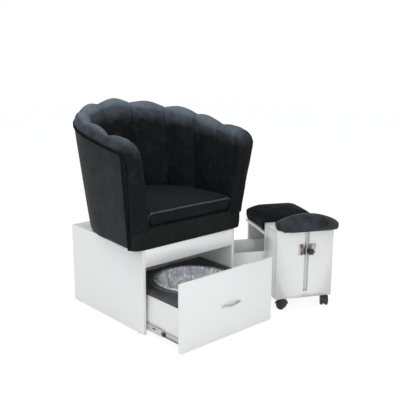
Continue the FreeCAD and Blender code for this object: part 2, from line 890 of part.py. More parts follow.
# Clamp: angle brackets joined by a bar across the slot, whose knob screws against the tongue
def clamp():
    low = clamp_centre_height - clamp_plate_height / 2
    high = clamp_centre_height + clamp_plate_height / 2
    bar_front = -clamp_flange
    bar_back = bar_front + clamp_bar_thickness
    bolt = clamp_bolt_place()
    bar_z = (bolt.z - clamp_bar_height / 2, bolt.z + clamp_bar_height / 2)
    bracket = block((slot_left - clamp_plate, slot_right + clamp_plate), (bar_front, bar_back), bar_z)
    screws = []
    for inner, side in ((slot_left, -1), (slot_right, 1)):
        plate_x = sorted((inner, inner + side * clamp_plate_width))
        flange_x = sorted((inner, inner + side * clamp_plate))
        bracket = bracket.fuse(block(plate_x, (-clamp_plate, 0), (low, high)))
        bracket = bracket.fuse(block(flange_x, (bar_front, 0), (low, high)))
        for z in (low + clamp_screw_margin, high - clamp_screw_margin):
            x = inner + side * (clamp_plate_width - clamp_screw_margin)
            face = Vector(x, -clamp_plate, z)
            screws.append(rod(clamp_screw_radius, face, face - Vector(0, clamp_screw_head, 0)))
    nut_start = bolt + Vector(0, bar_back, 0)
    nut_end = nut_start + Vector(0, clamp_nut_width, 0)
    bracket = bracket.fuse(hexagon(clamp_nut_radius, nut_start, nut_end))
    bore_start = bolt + Vector(0, bar_front - overrun, 0)
    bore = rod(clamp_bolt_radius + fit_clearance, bore_start, nut_end + Vector(0, overrun, 0))
    bracket = bracket.cut(bore).removeSplitter()
    parts["clamp_brackets"] = Part.makeCompound([bracket] + screws)


def clamp_bolt_place():
    return Vector(slot_middle + clamp_bolt_offset, 0, clamp_centre_height - clamp_bolt_drop)


def hexagon(radius, start, end):
    corners = []
    for k in range(6):
        angle = math.radians(60 * k)
        corners.append(start + Vector(radius * math.cos(angle), 0, radius * math.sin(angle)))
    return Part.Face(polygon(corners)).extrude(end - start)


def clamp_knob():
    bolt = clamp_bolt_place()
    hub_start = bolt - Vector(0, clamp_flange + touch_gap, 0)
    hub_end = hub_start - Vector(0, knob_hub_length, 0)
    knob_end = hub_end - Vector(0, knob_thickness, 0)
    knob = rod(knob_hub_radius, hub_start, hub_end).fuse(rod(knob_radius, hub_end, knob_end))
    for k in range(knob_lobes):
        angle = 2 * math.pi * k / knob_lobes
        offset = Vector(knob_radius * math.cos(angle), 0, knob_radius * math.sin(angle))
        knob = knob.fuse(rod(knob_lobe_radius, hub_end + offset, knob_end + offset))
    tip = bolt + Vector(0, tongue_recess - touch_gap, 0)
    parts["clamp_knob"] = knob.fuse(rod(clamp_bolt_radius, hub_end, tip)).removeSplitter()


# Drawer under the stool seat: a box of boards, drawn out to the left
def stool_drawer():
    left = -tray_open
    right = left + tray_length
    near = column_depth + tray_side_gap
    far = stool_end - board - tray_side_gap
    bottom = stool_base_top + touch_gap
    top = bottom + tray_height
    outside = block((left, right), (near, far), (bottom, top))
    inside_x = (left + tray_board, right - tray_board)
    inside = block(inside_x, (near + tray_board, far - tray_board), (bottom + tray_board, top + overrun))
    centre = Vector(left - overrun, (near + far) / 2, top)
    notch = rod(tray_notch_radius, centre, centre + Vector(overrun + tray_board + overrun, 0, 0))
    parts["stool_drawer_box"] = outside.cut(inside).cut(notch)


# Casters: top plates, yokes with hoods, and pairs of wheels
def caster_places():
    near = caster_inset
    far_x = stool_width - caster_inset
    far_y = stool_end - caster_inset
    return {
        "front_left": (near, near),
        "front_right": (far_x, near),
        "back_left": (near, far_y),
        "back_right": (far_x, far_y),
    }


def caster_plate():
    half = caster_plate_size / 2
    bottom = stool_bottom - caster_plate_thickness
    plate = block((-half, half), (-half, half), (bottom, stool_bottom))
    under = Vector(0, 0, bottom - overrun)
    above = Vector(0, 0, stool_bottom + overrun)
    plate = plate.cut(rod(caster_pin_radius + fit_clearance, under, above))
    reach = half - 2 * caster_screw_radius
    for x in (-reach, reach):
        for y in (-reach, reach):
            foot = Vector(x, y, bottom)
            plate = plate.fuse(rod(caster_screw_radius, foot, foot - Vector(0, 0, caster_screw_head)))
    return plate


def caster_yoke():
    head_top = stool_bottom - caster_plate_thickness - touch_gap
    head_bottom = head_top - caster_head_height
    head = rod(caster_head_radius, Vector(0, 0, head_bottom), Vector(0, 0, head_top))
    pin = rod(caster_pin_radius, Vector(0, 0, head_top), Vector(0, 0, stool_bottom - touch_gap))
    axle_centre = Vector(caster_trail, 0, caster_wheel_radius)
    web_half = caster_web / 2
    inner_radius = caster_wheel_radius + caster_hood_gap
    outer_radius = inner_radius + caster_hood_thickness
    hood_half = web_half + caster_web_gap + caster_wheel_width
    side = Vector(0, hood_half, 0)
    hood = rod(outer_radius, axle_centre - side, axle_centre + side)
    over = Vector(0, hood_half + overrun, 0)
    hood = hood.cut(rod(inner_radius, axle_centre - over, axle_centre + over))
    web_side = Vector(0, web_half, 0)
    web = rod(outer_radius, axle_centre - web_side, axle_centre + web_side)
    hood = hood.fuse(web)
    reach = outer_radius + overrun
    lower_z = (axle_centre.z - reach, axle_centre.z + caster_hood_rise)
    lower = block((axle_centre.x - reach, axle_centre.x + reach), (-over.y, over.y), lower_z)
    axle_boss = rod(caster_web_radius, axle_centre - web_side, axle_centre + web_side)
    stem = block((-web_half, axle_centre.x), (-web_half, web_half), (axle_centre.z, head_bottom))
    hood_top = head_top - 2 * caster_screw_head
    above = block((-reach, axle_centre.x + reach), (-reach, reach), (0, hood_top))
    axle_half = Vector(0, hood_half, 0)
    axle = rod(caster_axle_radius, axle_centre - axle_half, axle_centre + axle_half)
    yoke = hood.cut(lower).common(above).fuse(stem).fuse(axle_boss).fuse(axle).fuse(head).fuse(pin)
    return yoke.removeSplitter()


def caster_wheels():
    wheels = []
    inner = caster_web / 2 + caster_web_gap
    axle_centre = Vector(caster_trail, 0, caster_wheel_radius)
    bevel = caster_wheel_bevel
    outer = inner + caster_wheel_width
    bore = caster_axle_radius + fit_clearance
    rim = caster_wheel_radius
    profile = [
        Vector(bore, 0, inner),
        Vector(rim - bevel, 0, inner),
        Vector(rim, 0, inner + bevel),
        Vector(rim, 0, outer - bevel),
        Vector(rim - bevel, 0, outer),
        Vector(rim / 2, 0, outer),
        Vector(rim / 2 - bevel, 0, outer - bevel),
        Vector(bore, 0, outer - bevel),
    ]
    wheel = Part.Face(polygon(profile)).revolve(Vector(0, 0, 0), Vector(0, 0, 1), 360)
    for tilt in (90, -90):
        copy = wheel.copy()
        copy.rotate(Vector(0, 0, 0), Vector(1, 0, 0), tilt)
        copy.translate(axle_centre)
        wheels.append(copy)
    return Part.makeCompound(wheels)


def casters():
    plates = []
    yoke = caster_yoke()
    wheels = caster_wheels()
    for name, (x, y) in caster_places().items():
        plate = caster_plate()
        plate.translate(Vector(x, y, 0))
        plates.append(plate)
        for kind, shape in (("caster_yoke_", yoke), ("caster_wheels_", wheels)):
            copy = shape.copy()
            copy.rotate(Vector(0, 0, 0), Vector(0, 0, 1), caster_turns[name])
            copy.translate(Vector(x, y, 0))
            parts[kind + name] = copy
    parts["caster_plates"] = Part.makeCompound(plates)


def stool():
    stool_carcase()
    stool_cushion()
    footrest()
    clamp()
    clamp_knob()
    stool_drawer()
    casters()


def place_stool(names):
    for name in names:
        shape = parts[name]
        shape.rotate(Vector(0, 0, 0), Vector(0, 0, 1), stool_turn)
        shape.translate(Vector(stool_x, stool_y, 0))


def export():
    os.makedirs("parts", exist_ok=True)
    for name, shape in parts.items():
        shape.translate(Vector(0, -origin_y, 0))
        shape.exportStep("parts/" + name + ".step")


def main():
    platform()
    chair_bolts()
    slides()
    drawer_box()
    drawer_handle()
    foot_basin()
    basin_liner()
    channels()
    outer_shell()
    back_frame()
    seat_frame()
    arm_front()
    front_apron()
    seat_cushion()
    fixed = set(parts)
    stool()
    place_stool([name for name in parts if name not in fixed])
    export()


main()
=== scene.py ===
import math

import bmesh
import bpy
from mathutils import Matrix, Vector, noise
from mathutils.bvhtree import BVHTree


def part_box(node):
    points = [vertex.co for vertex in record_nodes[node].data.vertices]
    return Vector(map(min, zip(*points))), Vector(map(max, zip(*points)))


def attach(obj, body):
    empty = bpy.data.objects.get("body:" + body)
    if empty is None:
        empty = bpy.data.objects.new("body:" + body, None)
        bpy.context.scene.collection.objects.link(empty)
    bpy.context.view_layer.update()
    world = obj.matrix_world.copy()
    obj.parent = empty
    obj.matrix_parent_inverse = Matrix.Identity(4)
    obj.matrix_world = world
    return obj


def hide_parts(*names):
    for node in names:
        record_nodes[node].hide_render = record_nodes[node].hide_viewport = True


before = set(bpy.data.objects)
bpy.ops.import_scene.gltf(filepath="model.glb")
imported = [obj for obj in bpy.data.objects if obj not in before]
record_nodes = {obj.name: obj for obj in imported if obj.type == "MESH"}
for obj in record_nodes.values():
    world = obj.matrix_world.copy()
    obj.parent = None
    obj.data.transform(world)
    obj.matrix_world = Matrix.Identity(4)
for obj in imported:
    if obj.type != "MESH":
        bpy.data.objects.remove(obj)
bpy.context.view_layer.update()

# Metres, +Z up, the chair faces -Y. The frame's origin is under the platform's back panel.
scene = bpy.context.scene

# Chair, shared with the frame. A plan holds the half width in front and further back, where the back's
# curve has its centre in y, and how deep that curve is
platform_top = 0.480
seat_line_z = 0.640
chair_front_y = -0.676
crest_plan = (0.409, 0.409, -0.356, 0.384)
seat_plan = (0.291, 0.306, -0.446, 0.312)
base_plan = (0.390, 0.370, -0.406, 0.440)
rim_front_z = 1.072
rim_rise = 0.149
roll_radius = 0.058
outside_back = 0.037
widening_share = 0.45
seam_depth = 0.030
channel_pairs = 4
arm_front_depth = 0.037

# Chair, the covers' own shape
outside_front = 0.056
rim_dip = 0.010
rim_dip_share = 0.54
crest_rounding = 0.110
crest_end_y = -0.740
cover_foot_z = 0.606
arm_foot_z = 0.583
border_tuck = 0.02
lobe_columns = 30
arm_columns = 26
cap_columns = 16
inside_rows = 66
roll_rows = 30
low_rows = 3
roll_sweep = 184
lobe_size = (0.22, 0.72)
cap_size = (0.1, 1.3)
crest_fullness = 1.7
front_fullness = 2.8
pole_drop = 0.045
front_low_y = -0.706
front_lean = 0.042
edge_low_y = -0.662
edge_lean = 0.056
edge_corner = 0.040
crowding = 1.3
band_y = -0.704
band_half = 0.342
band_top = 0.597
band_corner = 0.16
band_face = 0.86
band_curl = 0.012

# Foot bath
basin_y = -0.709
basin_rim_radius = 0.195
basin_flange_radius = 0.242
basin_floor_radius = 0.105
basin_belly = 0.026
basin_board_top = 0.246
basin_rim_top = 0.255
basin_floor_z = 0.115
slide_x = 0.3068
slide_z = 0.052
handle_x = 0.018
handle_half_span = 0.0635
handle_face_y = -1.009
handle_z = 0.184

# Stool
stool_corner = Vector((0.4624, -0.9302, 0))
stool_turn = math.radians(-26.6)
stool_width = 0.360
stool_end = 0.510
slot_middle = 0.190
bolt_place = (0.198, -0.0303, 0.362)
knob_radius = 0.016
knob_hub = 0.0065
wheel_radius = 0.027
wheel_width = 0.018
wheel_gap = 0.005
caster_trail = 0.022
caster_inset = 0.031
caster_turns = {"front_left": 313, "front_right": 250, "back_left": 205, "back_right": 118}


# The photograph's camera
camera_place = (-2.22955, -3.25773, 1.48380)
camera_turns = (41.89657, 12.94452, 0.25618)
camera_lens = 56.9606


def put(target, **settings):
    for key, value in settings.items():
        setattr(target, key, value)
    return target


def add_object(name, data):
    made = bpy.data.objects.new(name, data)
    scene.collection.objects.link(made)
    return made


# Shader maths: a wrapped socket, so that a pattern is written as an expression
class Wire:
    def __init__(self, socket):
        self.socket = socket
        self.tree = socket.id_data

    def math(self, operation, other, swapped=False):
        node = self.tree.nodes.new("ShaderNodeMath")
        node.operation = operation
        pair = (other, self) if swapped else (self, other)
        for place, value in zip(node.inputs, pair):
            feed(self.tree, place, value)
        return Wire(node.outputs[0])

    def __add__(self, other):
        return self.math("ADD", other)

    def __sub__(self, other):
        return self.math("SUBTRACT", other)

    def __rsub__(self, other):
        return self.math("SUBTRACT", other, True)

    def __mul__(self, other):
        return self.math("MULTIPLY", other)

    def __pow__(self, other):
        return self.math("POWER", other)

    __radd__ = __add__
    __rmul__ = __mul__


def feed(tree, place, value):
    if isinstance(value, Wire):
        tree.links.new(value.socket, place)
    elif place.type == "RGBA" and len(value) == 3:
        place.default_value = (*value, 1)
    else:
        place.default_value = value


class Finish:
    def __init__(self, name):
        self.material = bpy.data.materials.new(name)
        self.material.use_nodes = True
        self.tree = self.material.node_tree
        self.tree.nodes.clear()
        self.place = self.node("ShaderNodeTexCoord", output="Object")

    def node(self, kind, settings=None, inputs=None, output=0):
        made = put(self.tree.nodes.new(kind), **(settings or {}))
        for key, value in (inputs or {}).items():
            feed(self.tree, made.inputs[key], value)
        return None if output is None else Wire(made.outputs[output])

    def mapped(self, **inputs):
        return self.node("ShaderNodeMapping", inputs={"Vector": self.place, **inputs})

    def noise(self, scale, detail=3.0, roughness=0.5, place=None):
        inputs = {"Vector": place or self.place, "Scale": scale, "Detail": detail, "Roughness": roughness}
        return self.node("ShaderNodeTexNoise", inputs=inputs)

    def cells(self, scale, feature="F1"):
        return self.node("ShaderNodeTexVoronoi", {"feature": feature}, {"Vector": self.place, "Scale": scale})

    def ramp(self, value, low, high):
        inputs = {"Value": value, "From Min": low, "From Max": high}
        return self.node("ShaderNodeMapRange", {"clamp": True}, inputs)

    def blend(self, share, first, second):
        return self.node("ShaderNodeMix", {"data_type": "RGBA"}, {0: share, 6: first, 7: second}, 2)

    def bump(self, height, depth, strength=1.0, under=None):
        inputs = {"Height": height, "Distance": depth, "Strength": strength}
        if under:
            inputs["Normal"] = under
        return self.node("ShaderNodeBump", inputs=inputs)

    def surface(self, **sockets):
        inputs = {key.replace("_", " "): value for key, value in sockets.items()}
        return self.finished(self.node("ShaderNodeBsdfPrincipled", inputs=inputs))

    def finished(self, shader):
        self.node("ShaderNodeOutputMaterial", inputs={"Surface": shader}, output=None)
        return self.material


# Finishes
def laminate(name, tone):
    f = Finish(name)
    cloud = f.noise(3.0, 2.0)
    peel = f.noise(140.0, 2.0)
    base = f.blend(cloud, tuple(c * 0.975 for c in tone), tone)
    scuff = f.ramp(f.noise(22.0, 5.0, 0.65), 0.55, 0.75)
    roughness = 0.16 + f.noise(9.0, 3.0) * 0.10 + scuff * 0.08
    return f.surface(Base_Color=base, Roughness=roughness, Coat_Weight=0.25, Coat_Roughness=0.08,
                     Normal=f.bump(peel, 0.00012, 0.5))


def velvet_surface(f, base, share, sheen):
    pile = f.noise(1500.0, 2.0)
    roughness = 0.70 - share * 0.12
    fine = f.bump(pile, 0.0005, 0.35)
    normal = f.bump(f.noise(60.0, 4.0, 0.6), 0.0012, 0.5, fine)
    return f.surface(Base_Color=base, Roughness=roughness, Specular_IOR_Level=0.10, Sheen_Weight=sheen,
                     Sheen_Roughness=0.35, Sheen_Tint=(0.72, 0.80, 0.92), Normal=normal)


def nap_and_painted_light(f):
    brushed = f.ramp(f.noise(7.0, 4.0, 0.6), 0.35, 0.7)
    streaks = f.ramp(f.noise(38.0, 5.0, 0.7), 0.35, 0.65)
    specks = f.ramp(f.noise(120.0, 3.0, 0.6), 0.35, 0.65)
    return brushed * 0.4 + streaks * 0.35 + specks * 0.25


def black_velvet(name, dark, light, sheen):
    f = Finish(name)
    share = nap_and_painted_light(f)
    return velvet_surface(f, f.blend(share, dark, light), share, sheen)


# The channels' velvet is painted paler over the rolls' tops, a painted highlight, and near black down inside,
# painted shade; a mesh attribute holds that painted light
def roll_velvet(name):
    f = Finish(name)
    share = nap_and_painted_light(f)
    painted_light_share = f.node("ShaderNodeAttribute", {"attribute_name": "nap_and_painted_light"}, output="Fac")
    # Painted light: the attribute and some noise choose between painted shade and painted highlight
    height = f.ramp(painted_light_share + (f.noise(16.0, 4.0) - 0.5) * 0.5, 0.05, 0.95)
    low = f.blend(share, (0.0035, 0.0045, 0.0048), (0.0085, 0.0105, 0.0110))
    high = f.blend(share, (0.072, 0.087, 0.105), (0.140, 0.170, 0.204))
    return velvet_surface(f, f.blend(height, low, high), share, 0.05)


def black_upholstery(name, dark, light, shine):
    f = Finish(name)
    grain = f.cells(520.0, "DISTANCE_TO_EDGE")
    worn = f.ramp(f.noise(11.0, 4.0, 0.6), 0.35, 0.72)
    base = f.blend(worn, dark, light)
    roughness = 0.55 - worn * 0.12
    fine = f.bump(grain, 0.00035, 0.5)
    normal = f.bump(f.noise(45.0, 3.0), 0.0014, 0.4, fine)
    return f.surface(Base_Color=base, Roughness=roughness, Specular_IOR_Level=shine, Sheen_Weight=0.01,
                     Sheen_Roughness=0.5, Sheen_Tint=(0.7, 0.76, 0.85), Normal=normal)


def dark_thread(name):
    f = Finish(name)
    twist = f.noise(900.0, 1.0)
    base = f.blend(twist, (0.003, 0.0035, 0.004), (0.009, 0.010, 0.011))
    return f.surface(Base_Color=base, Roughness=0.8, Specular_IOR_Level=0.08,
                     Normal=f.bump(twist, 0.0006, 0.6))


def speckled_board(name):
    f = Finish(name)
    grit = f.noise(420.0, 3.0, 0.7)
    fleck = f.ramp(grit, 0.52, 0.66)
    cloud = f.ramp(f.noise(34.0, 5.0, 0.7), 0.34, 0.7)
    vein = f.ramp(f.noise(90.0, 4.0, 0.6), 0.42, 0.62)
    ground = f.blend(cloud, (0.010, 0.012, 0.013), (0.050, 0.056, 0.058))
    veined = f.blend(vein * 0.5, ground, (0.070, 0.078, 0.080))
    base = f.blend(fleck * 0.45, veined, (0.22, 0.23, 0.235))
    return f.surface(Base_Color=base, Roughness=0.42 + cloud * 0.2, Normal=f.bump(grit, 0.0006, 0.5))


# The bowl is pale inside its rim, and its flange is dark and gritty
def basin_plastic(name):
    f = Finish(name)
    flat = f.mapped(Location=(0, -basin_y, 0), Scale=(1, 1, 0))
    away = f.node("ShaderNodeVectorMath", {"operation": "LENGTH"}, {0: flat}, output="Value")
    flange = f.ramp(away, basin_rim_radius + 0.004, basin_rim_radius + 0.010)
    cloud = f.noise(16.0, 4.0, 0.6)
    grit = f.ramp(f.noise(300.0, 3.0, 0.7), 0.4, 0.6)
    inner = f.blend(cloud, (0.86, 0.86, 0.87), (0.94, 0.94, 0.95))
    outer = f.blend(cloud * 0.5 + grit * 0.5, (0.045, 0.052, 0.052), (0.180, 0.190, 0.190))
    base = f.blend(flange, inner, outer)
    roughness = 0.24 + cloud * 0.14
    return f.surface(Base_Color=base, Roughness=roughness, Normal=f.bump(f.noise(260.0, 2.0), 0.00015, 0.4))


# Clear film over a pale bowl: white pleats round the wall, whitened partly by creasing and partly as painted
# highlights, a painted lilac reflection on its far side, a milky floor
def clear_film(name):
    f = Finish(name)
    centred = f.mapped(Location=(0, -basin_y, 0))
    split = f.tree.nodes.new("ShaderNodeSeparateXYZ")
    feed(f.tree, split.inputs[0], centred)
    x, y, z = (Wire(socket) for socket in split.outputs)
    turn = y.math("ARCTAN2", x)
    away = (x * x + y * y) ** 0.5
    around = f.node("ShaderNodeCombineXYZ", inputs={"X": turn * 1.15, "Y": away * 3.0, "Z": z * 3.0})
    pleat = f.ramp(f.noise(2.4, 3.0, 0.5, around), 0.42, 0.60)
    fine = f.ramp(f.noise(7.0, 3.0, 0.5, around), 0.44, 0.60)
    far = f.ramp(y + (f.noise(5.0, 2.0) - 0.5) * 0.12, 0.02, 0.14)
    wall = f.ramp(away, 0.075, 0.12)
    # A painted lilac reflection on the far wall
    painted_lilac_reflection = far * wall * f.ramp(f.noise(3.4, 2.0, 0.5, around), 0.40, 0.55)
    # The folds and fine creases are whitened, partly creasing and partly painted highlights and glints
    grey = f.blend(pleat, (0.80, 0.81, 0.81), (1.0, 1.0, 1.0))
    tinted = f.blend(painted_lilac_reflection * 0.7, grey, (0.58, 0.57, 0.80))
    base = f.blend(fine * 0.5, tinted, (0.98, 0.98, 1.0))
    milky = f.blend(1 - wall, base, f.blend(pleat, (0.86, 0.86, 0.88), (1.0, 1.0, 1.0)))
    normal = f.bump(pleat, 0.012, 0.6, f.bump(fine, 0.004, 0.4))
    return f.surface(Base_Color=milky, Metallic=fine * 0.6, Roughness=0.2, Alpha=0.90 + pleat * 0.1,
                     Coat_Weight=1.0, Coat_Roughness=0.06, Normal=normal)


def rolled_steel(name, tone, along):
    f = Finish(name)
    streak = f.noise(30.0, 4.0, 0.6, f.mapped(Scale=along))
    spangle = f.cells(160.0)
    base = f.blend(streak, tuple(c * 0.8 for c in tone), tone)
    return f.surface(Base_Color=base, Metallic=1.0, Roughness=0.26 + streak * 0.16 + spangle * 0.05,
                     Normal=f.bump(streak, 0.0002, 0.4))


# Plated plates, with a warm, smeared reflection painted into their colour
def plated_bracket(name):
    f = Finish(name)
    painted_reflection_smear = f.ramp(f.noise(26.0, 4.0, 0.6, f.mapped(Scale=(1.6, 1.6, 0.5))), 0.38, 0.62)
    base = f.blend(painted_reflection_smear, (0.20, 0.17, 0.15), (0.66, 0.64, 0.60))
    return f.surface(Base_Color=base, Metallic=1.0, Roughness=0.22 + painted_reflection_smear * 0.2,
                     Normal=f.bump(painted_reflection_smear, 0.0003, 0.4))


def moulded_plastic(name, tone, roughness):
    f = Finish(name)
    grain = f.noise(900.0, 2.0)
    cloud = f.noise(30.0, 3.0)
    base = f.blend(cloud, tuple(c * 0.7 for c in tone), tone)
    return f.surface(Base_Color=base, Roughness=roughness + cloud * 0.12, Normal=f.bump(grain, 0.0003, 0.45))


def black_lining(name):
    f = Finish(name)
    fleece = f.noise(700.0, 3.0, 0.7)
    base = f.blend(fleece, (0.004, 0.004, 0.0045), (0.013, 0.013, 0.014))
    return f.surface(Base_Color=base, Roughness=0.9, Normal=f.bump(fleece, 0.0004, 0.6))


# The floor glows for the eye and in reflections, so that it stays white round the shadow
def plain_floor():
    f = Finish("pale_floor")
    base = f.blend(f.noise(0.8, 2.0), (0.93, 0.93, 0.93), (0.95, 0.95, 0.95))
    matt = f.node("ShaderNodeBsdfDiffuse", inputs={"Color": base})
    glow = f.node("ShaderNodeEmission", inputs={"Color": (1.0, 1.0, 1.0), "Strength": 1.10})
    seen = seen_by(f.tree, "Is Camera Ray", "Is Glossy Ray", "Is Transmission Ray") * 0.80
    return f.finished(f.node("ShaderNodeMixShader", inputs={0: seen, 1: matt, 2: glow}))


def seen_by(tree, first, *others):
    path = tree.nodes.new("ShaderNodeLightPath")
    total = Wire(path.outputs[first])
    for name in others:
        total = total + Wire(path.outputs[name])
    return total


finishes = {name: make(name, *settings) for name, make, *settings in (
    ("white_laminate", laminate, (0.85, 0.85, 0.845)),
    # A paler copy of the white laminate: painted light that lifts the shade on the front rail and the stool's
    # sides
    ("bright_laminate", laminate, (0.96, 0.96, 0.955)),
    # A darker copy of the white laminate: painted shade on the footrest's recessed tongue
    ("grey_laminate", laminate, (0.60, 0.60, 0.595)),
    ("side_velvet", black_velvet, (0.012, 0.014, 0.016), (0.032, 0.037, 0.038), 0.02),
    ("roll_velvet", roll_velvet),
    ("arm_velvet", black_velvet, (0.005, 0.008, 0.007), (0.015, 0.021, 0.020), 0.02),
    # A darker copy of the side's velvet: painted shade in the seat's hollow
    ("seat_velvet", black_velvet, (0.004, 0.006, 0.008), (0.011, 0.015, 0.018), 0.02),
    # A paler copy of the velvet: a painted highlight on the seat cushion's front welt
    ("piping", black_velvet, (0.036, 0.042, 0.045), (0.085, 0.097, 0.100), 0.05),
    # Two copies of one upholstery: the seat pad's darker as painted shade, the footrest pad's paler as a
    # painted highlight
    ("seat_upholstery", black_upholstery, (0.006, 0.008, 0.008), (0.015, 0.018, 0.019), 0.01),
    ("footrest_upholstery", black_upholstery, (0.015, 0.018, 0.020), (0.050, 0.059, 0.066), 0.06),
    ("dark_thread", dark_thread),
    ("black_lining", black_lining),
    ("speckled_board", speckled_board),
    ("basin_plastic", basin_plastic),
    ("clear_film", clear_film),
    ("slide_steel", rolled_steel, (0.62, 0.62, 0.61), (18, 0.6, 18)),
    ("chrome", rolled_steel, (0.80, 0.80, 0.80), (4, 4, 4)),
    ("handle_steel", rolled_steel, (0.60, 0.60, 0.60), (2, 20, 20)),
    ("bracket_steel", rolled_steel, (0.56, 0.55, 0.53), (12, 12, 1)),
    ("plated_bracket", plated_bracket),
    ("black_plastic", moulded_plastic, (0.022, 0.022, 0.024), 0.38),
    ("wheel_plastic", moulded_plastic, (0.022, 0.022, 0.024), 0.5),
    ("bumper", moulded_plastic, (0.012, 0.012, 0.012), 0.5),
)}


# Pieces
def paint(mesh, finish):
    mesh.materials.clear()
    mesh.materials.append(finishes[finish])


def dress(mesh, name, finish, body, replaced=()):
    paint(mesh, finish)
    piece = add_object(name, mesh)
    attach(piece, body)
    if replaced:
        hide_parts(*replaced)
    return piece


def smooth(mesh):
    mesh.polygons.foreach_set("use_smooth", [True] * len(mesh.polygons))
    mesh.update()


def to_mesh(work, name):
    mesh = bpy.data.meshes.new(name)
    work.to_mesh(mesh)
    work.free()
    smooth(mesh)
    return mesh


def dress_work(work, name, finish, body):
    dress(to_mesh(work, name), name, finish, body)


def nudge(work, verts, move):
    bmesh.ops.translate(work, verts=verts, vec=move)


def round_off(work, edges, width, segments):
    bmesh.ops.bevel(work, geom=edges, offset=width, segments=segments, profile=0.5, affect="EDGES",
                    material=-1)


def sharp(work, angle):
    return [edge for edge in work.edges if edge.calc_face_angle(0) > angle]


def drum(work, segments, low_radius, high_radius, depth):
    return bmesh.ops.create_cone(work, cap_ends=True, segments=segments, radius1=low_radius,
                                 radius2=high_radius, depth=depth)["verts"]


def rounded_block(size, rounding, centre):
    work = bmesh.new()
    made = bmesh.ops.create_cube(work, size=1.0)
    bmesh.ops.scale(work, verts=made["verts"], vec=size)
    round_off(work, work.edges[:], rounding, 3)
    nudge(work, work.verts, centre)
    return work


# A closed turned shape from a profile of radius and height pairs, on an upright axis at a centre
def turned(name, profile, centre, steps, closed=True):
    work = bmesh.new()
    verts = [work.verts.new((r, 0, z)) for r, z in profile]
    pairs = list(zip(verts, verts[1:])) + ([(verts[-1], verts[0])] if closed else [])
    edges = [work.edges.new(pair) for pair in pairs]
    bmesh.ops.spin(work, geom=verts + edges, cent=(0, 0, 0), axis=(0, 0, 1), angle=math.tau, steps=steps,
                   use_merge=True)
    bmesh.ops.remove_doubles(work, verts=work.verts, dist=0.00001)
    bmesh.ops.recalc_face_normals(work, faces=work.faces)
    nudge(work, work.verts, centre)
    return to_mesh(work, name)


# A grid of faces whose points are put in place by a function of two shares, with a UV map in metres.
# A float attribute holds painted light, how pale the velvet is painted as highlight or shade, and the hold
# which points the cloth keeps
def lay_grid(work, across, along, place, size, nap_and_painted_light=None, hold=None):
    flat = work.loops.layers.uv.verify()
    painted_light_layer = work.verts.layers.float.get("nap_and_painted_light") or work.verts.layers.float.new("nap_and_painted_light")
    holds = work.verts.layers.float.get("hold") or work.verts.layers.float.new("hold")
    made = bmesh.ops.create_grid(work, x_segments=across, y_segments=along, size=0.5)
    for face in {face for vert in made["verts"] for face in vert.link_faces}:
        for loop in face.loops:
            loop[flat].uv = ((loop.vert.co.x + 0.5) * size[0], (loop.vert.co.y + 0.5) * size[1])
    for vert in made["verts"]:
        shares = vert.co.x + 0.5, vert.co.y + 0.5
        vert[painted_light_layer] = nap_and_painted_light(*shares) if nap_and_painted_light else 0
        vert[holds] = hold(*shares) if hold else 0
        vert.co = place(*shares)


def laid_sheet(name, across, along, place, size, nap_and_painted_light=None, hold=None):
    work = bmesh.new()
    lay_grid(work, across, along, place, size, nap_and_painted_light, hold)
    return to_mesh(work, name)


def held_points(mesh):
    points = [index for index, point in enumerate(mesh.attributes["hold"].data) if point.value > 0.5]
    mesh.attributes.remove(mesh.attributes["hold"])
    return points


def thicken(piece, thickness, offset=-1.0, border=0.0):
    put(piece.modifiers.new("thickness", "SOLIDIFY"), thickness=thickness, offset=offset,
        use_quality_normals=True, edge_crease_outer=border, edge_crease_inner=border, edge_crease_rim=border)


def subdivide(piece):
    put(piece.modifiers.new("subdivision", "SUBSURF"), levels=1, render_levels=1)


def ease_edges(piece, width):
    put(piece.modifiers.new("weld", "WELD"), merge_threshold=0.00002)
    put(piece.modifiers.new("edges", "BEVEL"), width=width, segments=2, limit_method="ANGLE",
        angle_limit=math.radians(35), harden_normals=True)
    smooth(piece.data)


def shape_of(piece):
    graph = bpy.context.evaluated_depsgraph_get()
    return bpy.data.meshes.new_from_object(piece.evaluated_get(graph), depsgraph=graph)


# Cloth held at its pinned points and blown out from inside; no point moves further than the cap
def blow_out(mesh, pressure, cap, pinned=None, slack=0.0, frames=16, bending=0.5):
    piece = add_object("cloth_work", mesh)
    before = [v.co.copy() for v in mesh.vertices]
    cloth = piece.modifiers.new("cloth", "CLOTH")
    put(cloth.settings, quality=4, mass=0.3, bending_stiffness=bending, use_pressure=True,
        uniform_pressure_force=pressure, shrink_min=-slack)
    cloth.settings.effector_weights.gravity = 0
    cloth.collision_settings.use_collision = False
    put(cloth.point_cache, frame_start=1, frame_end=frames)
    if pinned:
        group = piece.vertex_groups.new(name="pinned")
        group.add(pinned, 1.0, "REPLACE")
        cloth.settings.vertex_group_mass = "pinned"
    for step in range(1, frames + 1):
        scene.frame_set(step)
    blown = shape_of(piece)
    for vert, old, new in zip(mesh.vertices, before, blown.vertices):
        move = new.co - old
        if move.length > cap:
            move *= cap / move.length
        vert.co = old + move
    scene.frame_set(1)
    bpy.data.objects.remove(piece)
    bpy.data.meshes.remove(blown)
    mesh.update()


def edit(mesh, change, rounds=1, **settings):
    work = bmesh.new()
    work.from_mesh(mesh)
    for _ in range(rounds):
        change(work, verts=work.verts, **settings)
    work.to_mesh(mesh)
    work.free()


def relax(mesh, rounds):
    edit(mesh, bmesh.ops.smooth_vert, rounds, factor=0.5, use_axis_x=True, use_axis_y=True, use_axis_z=True)


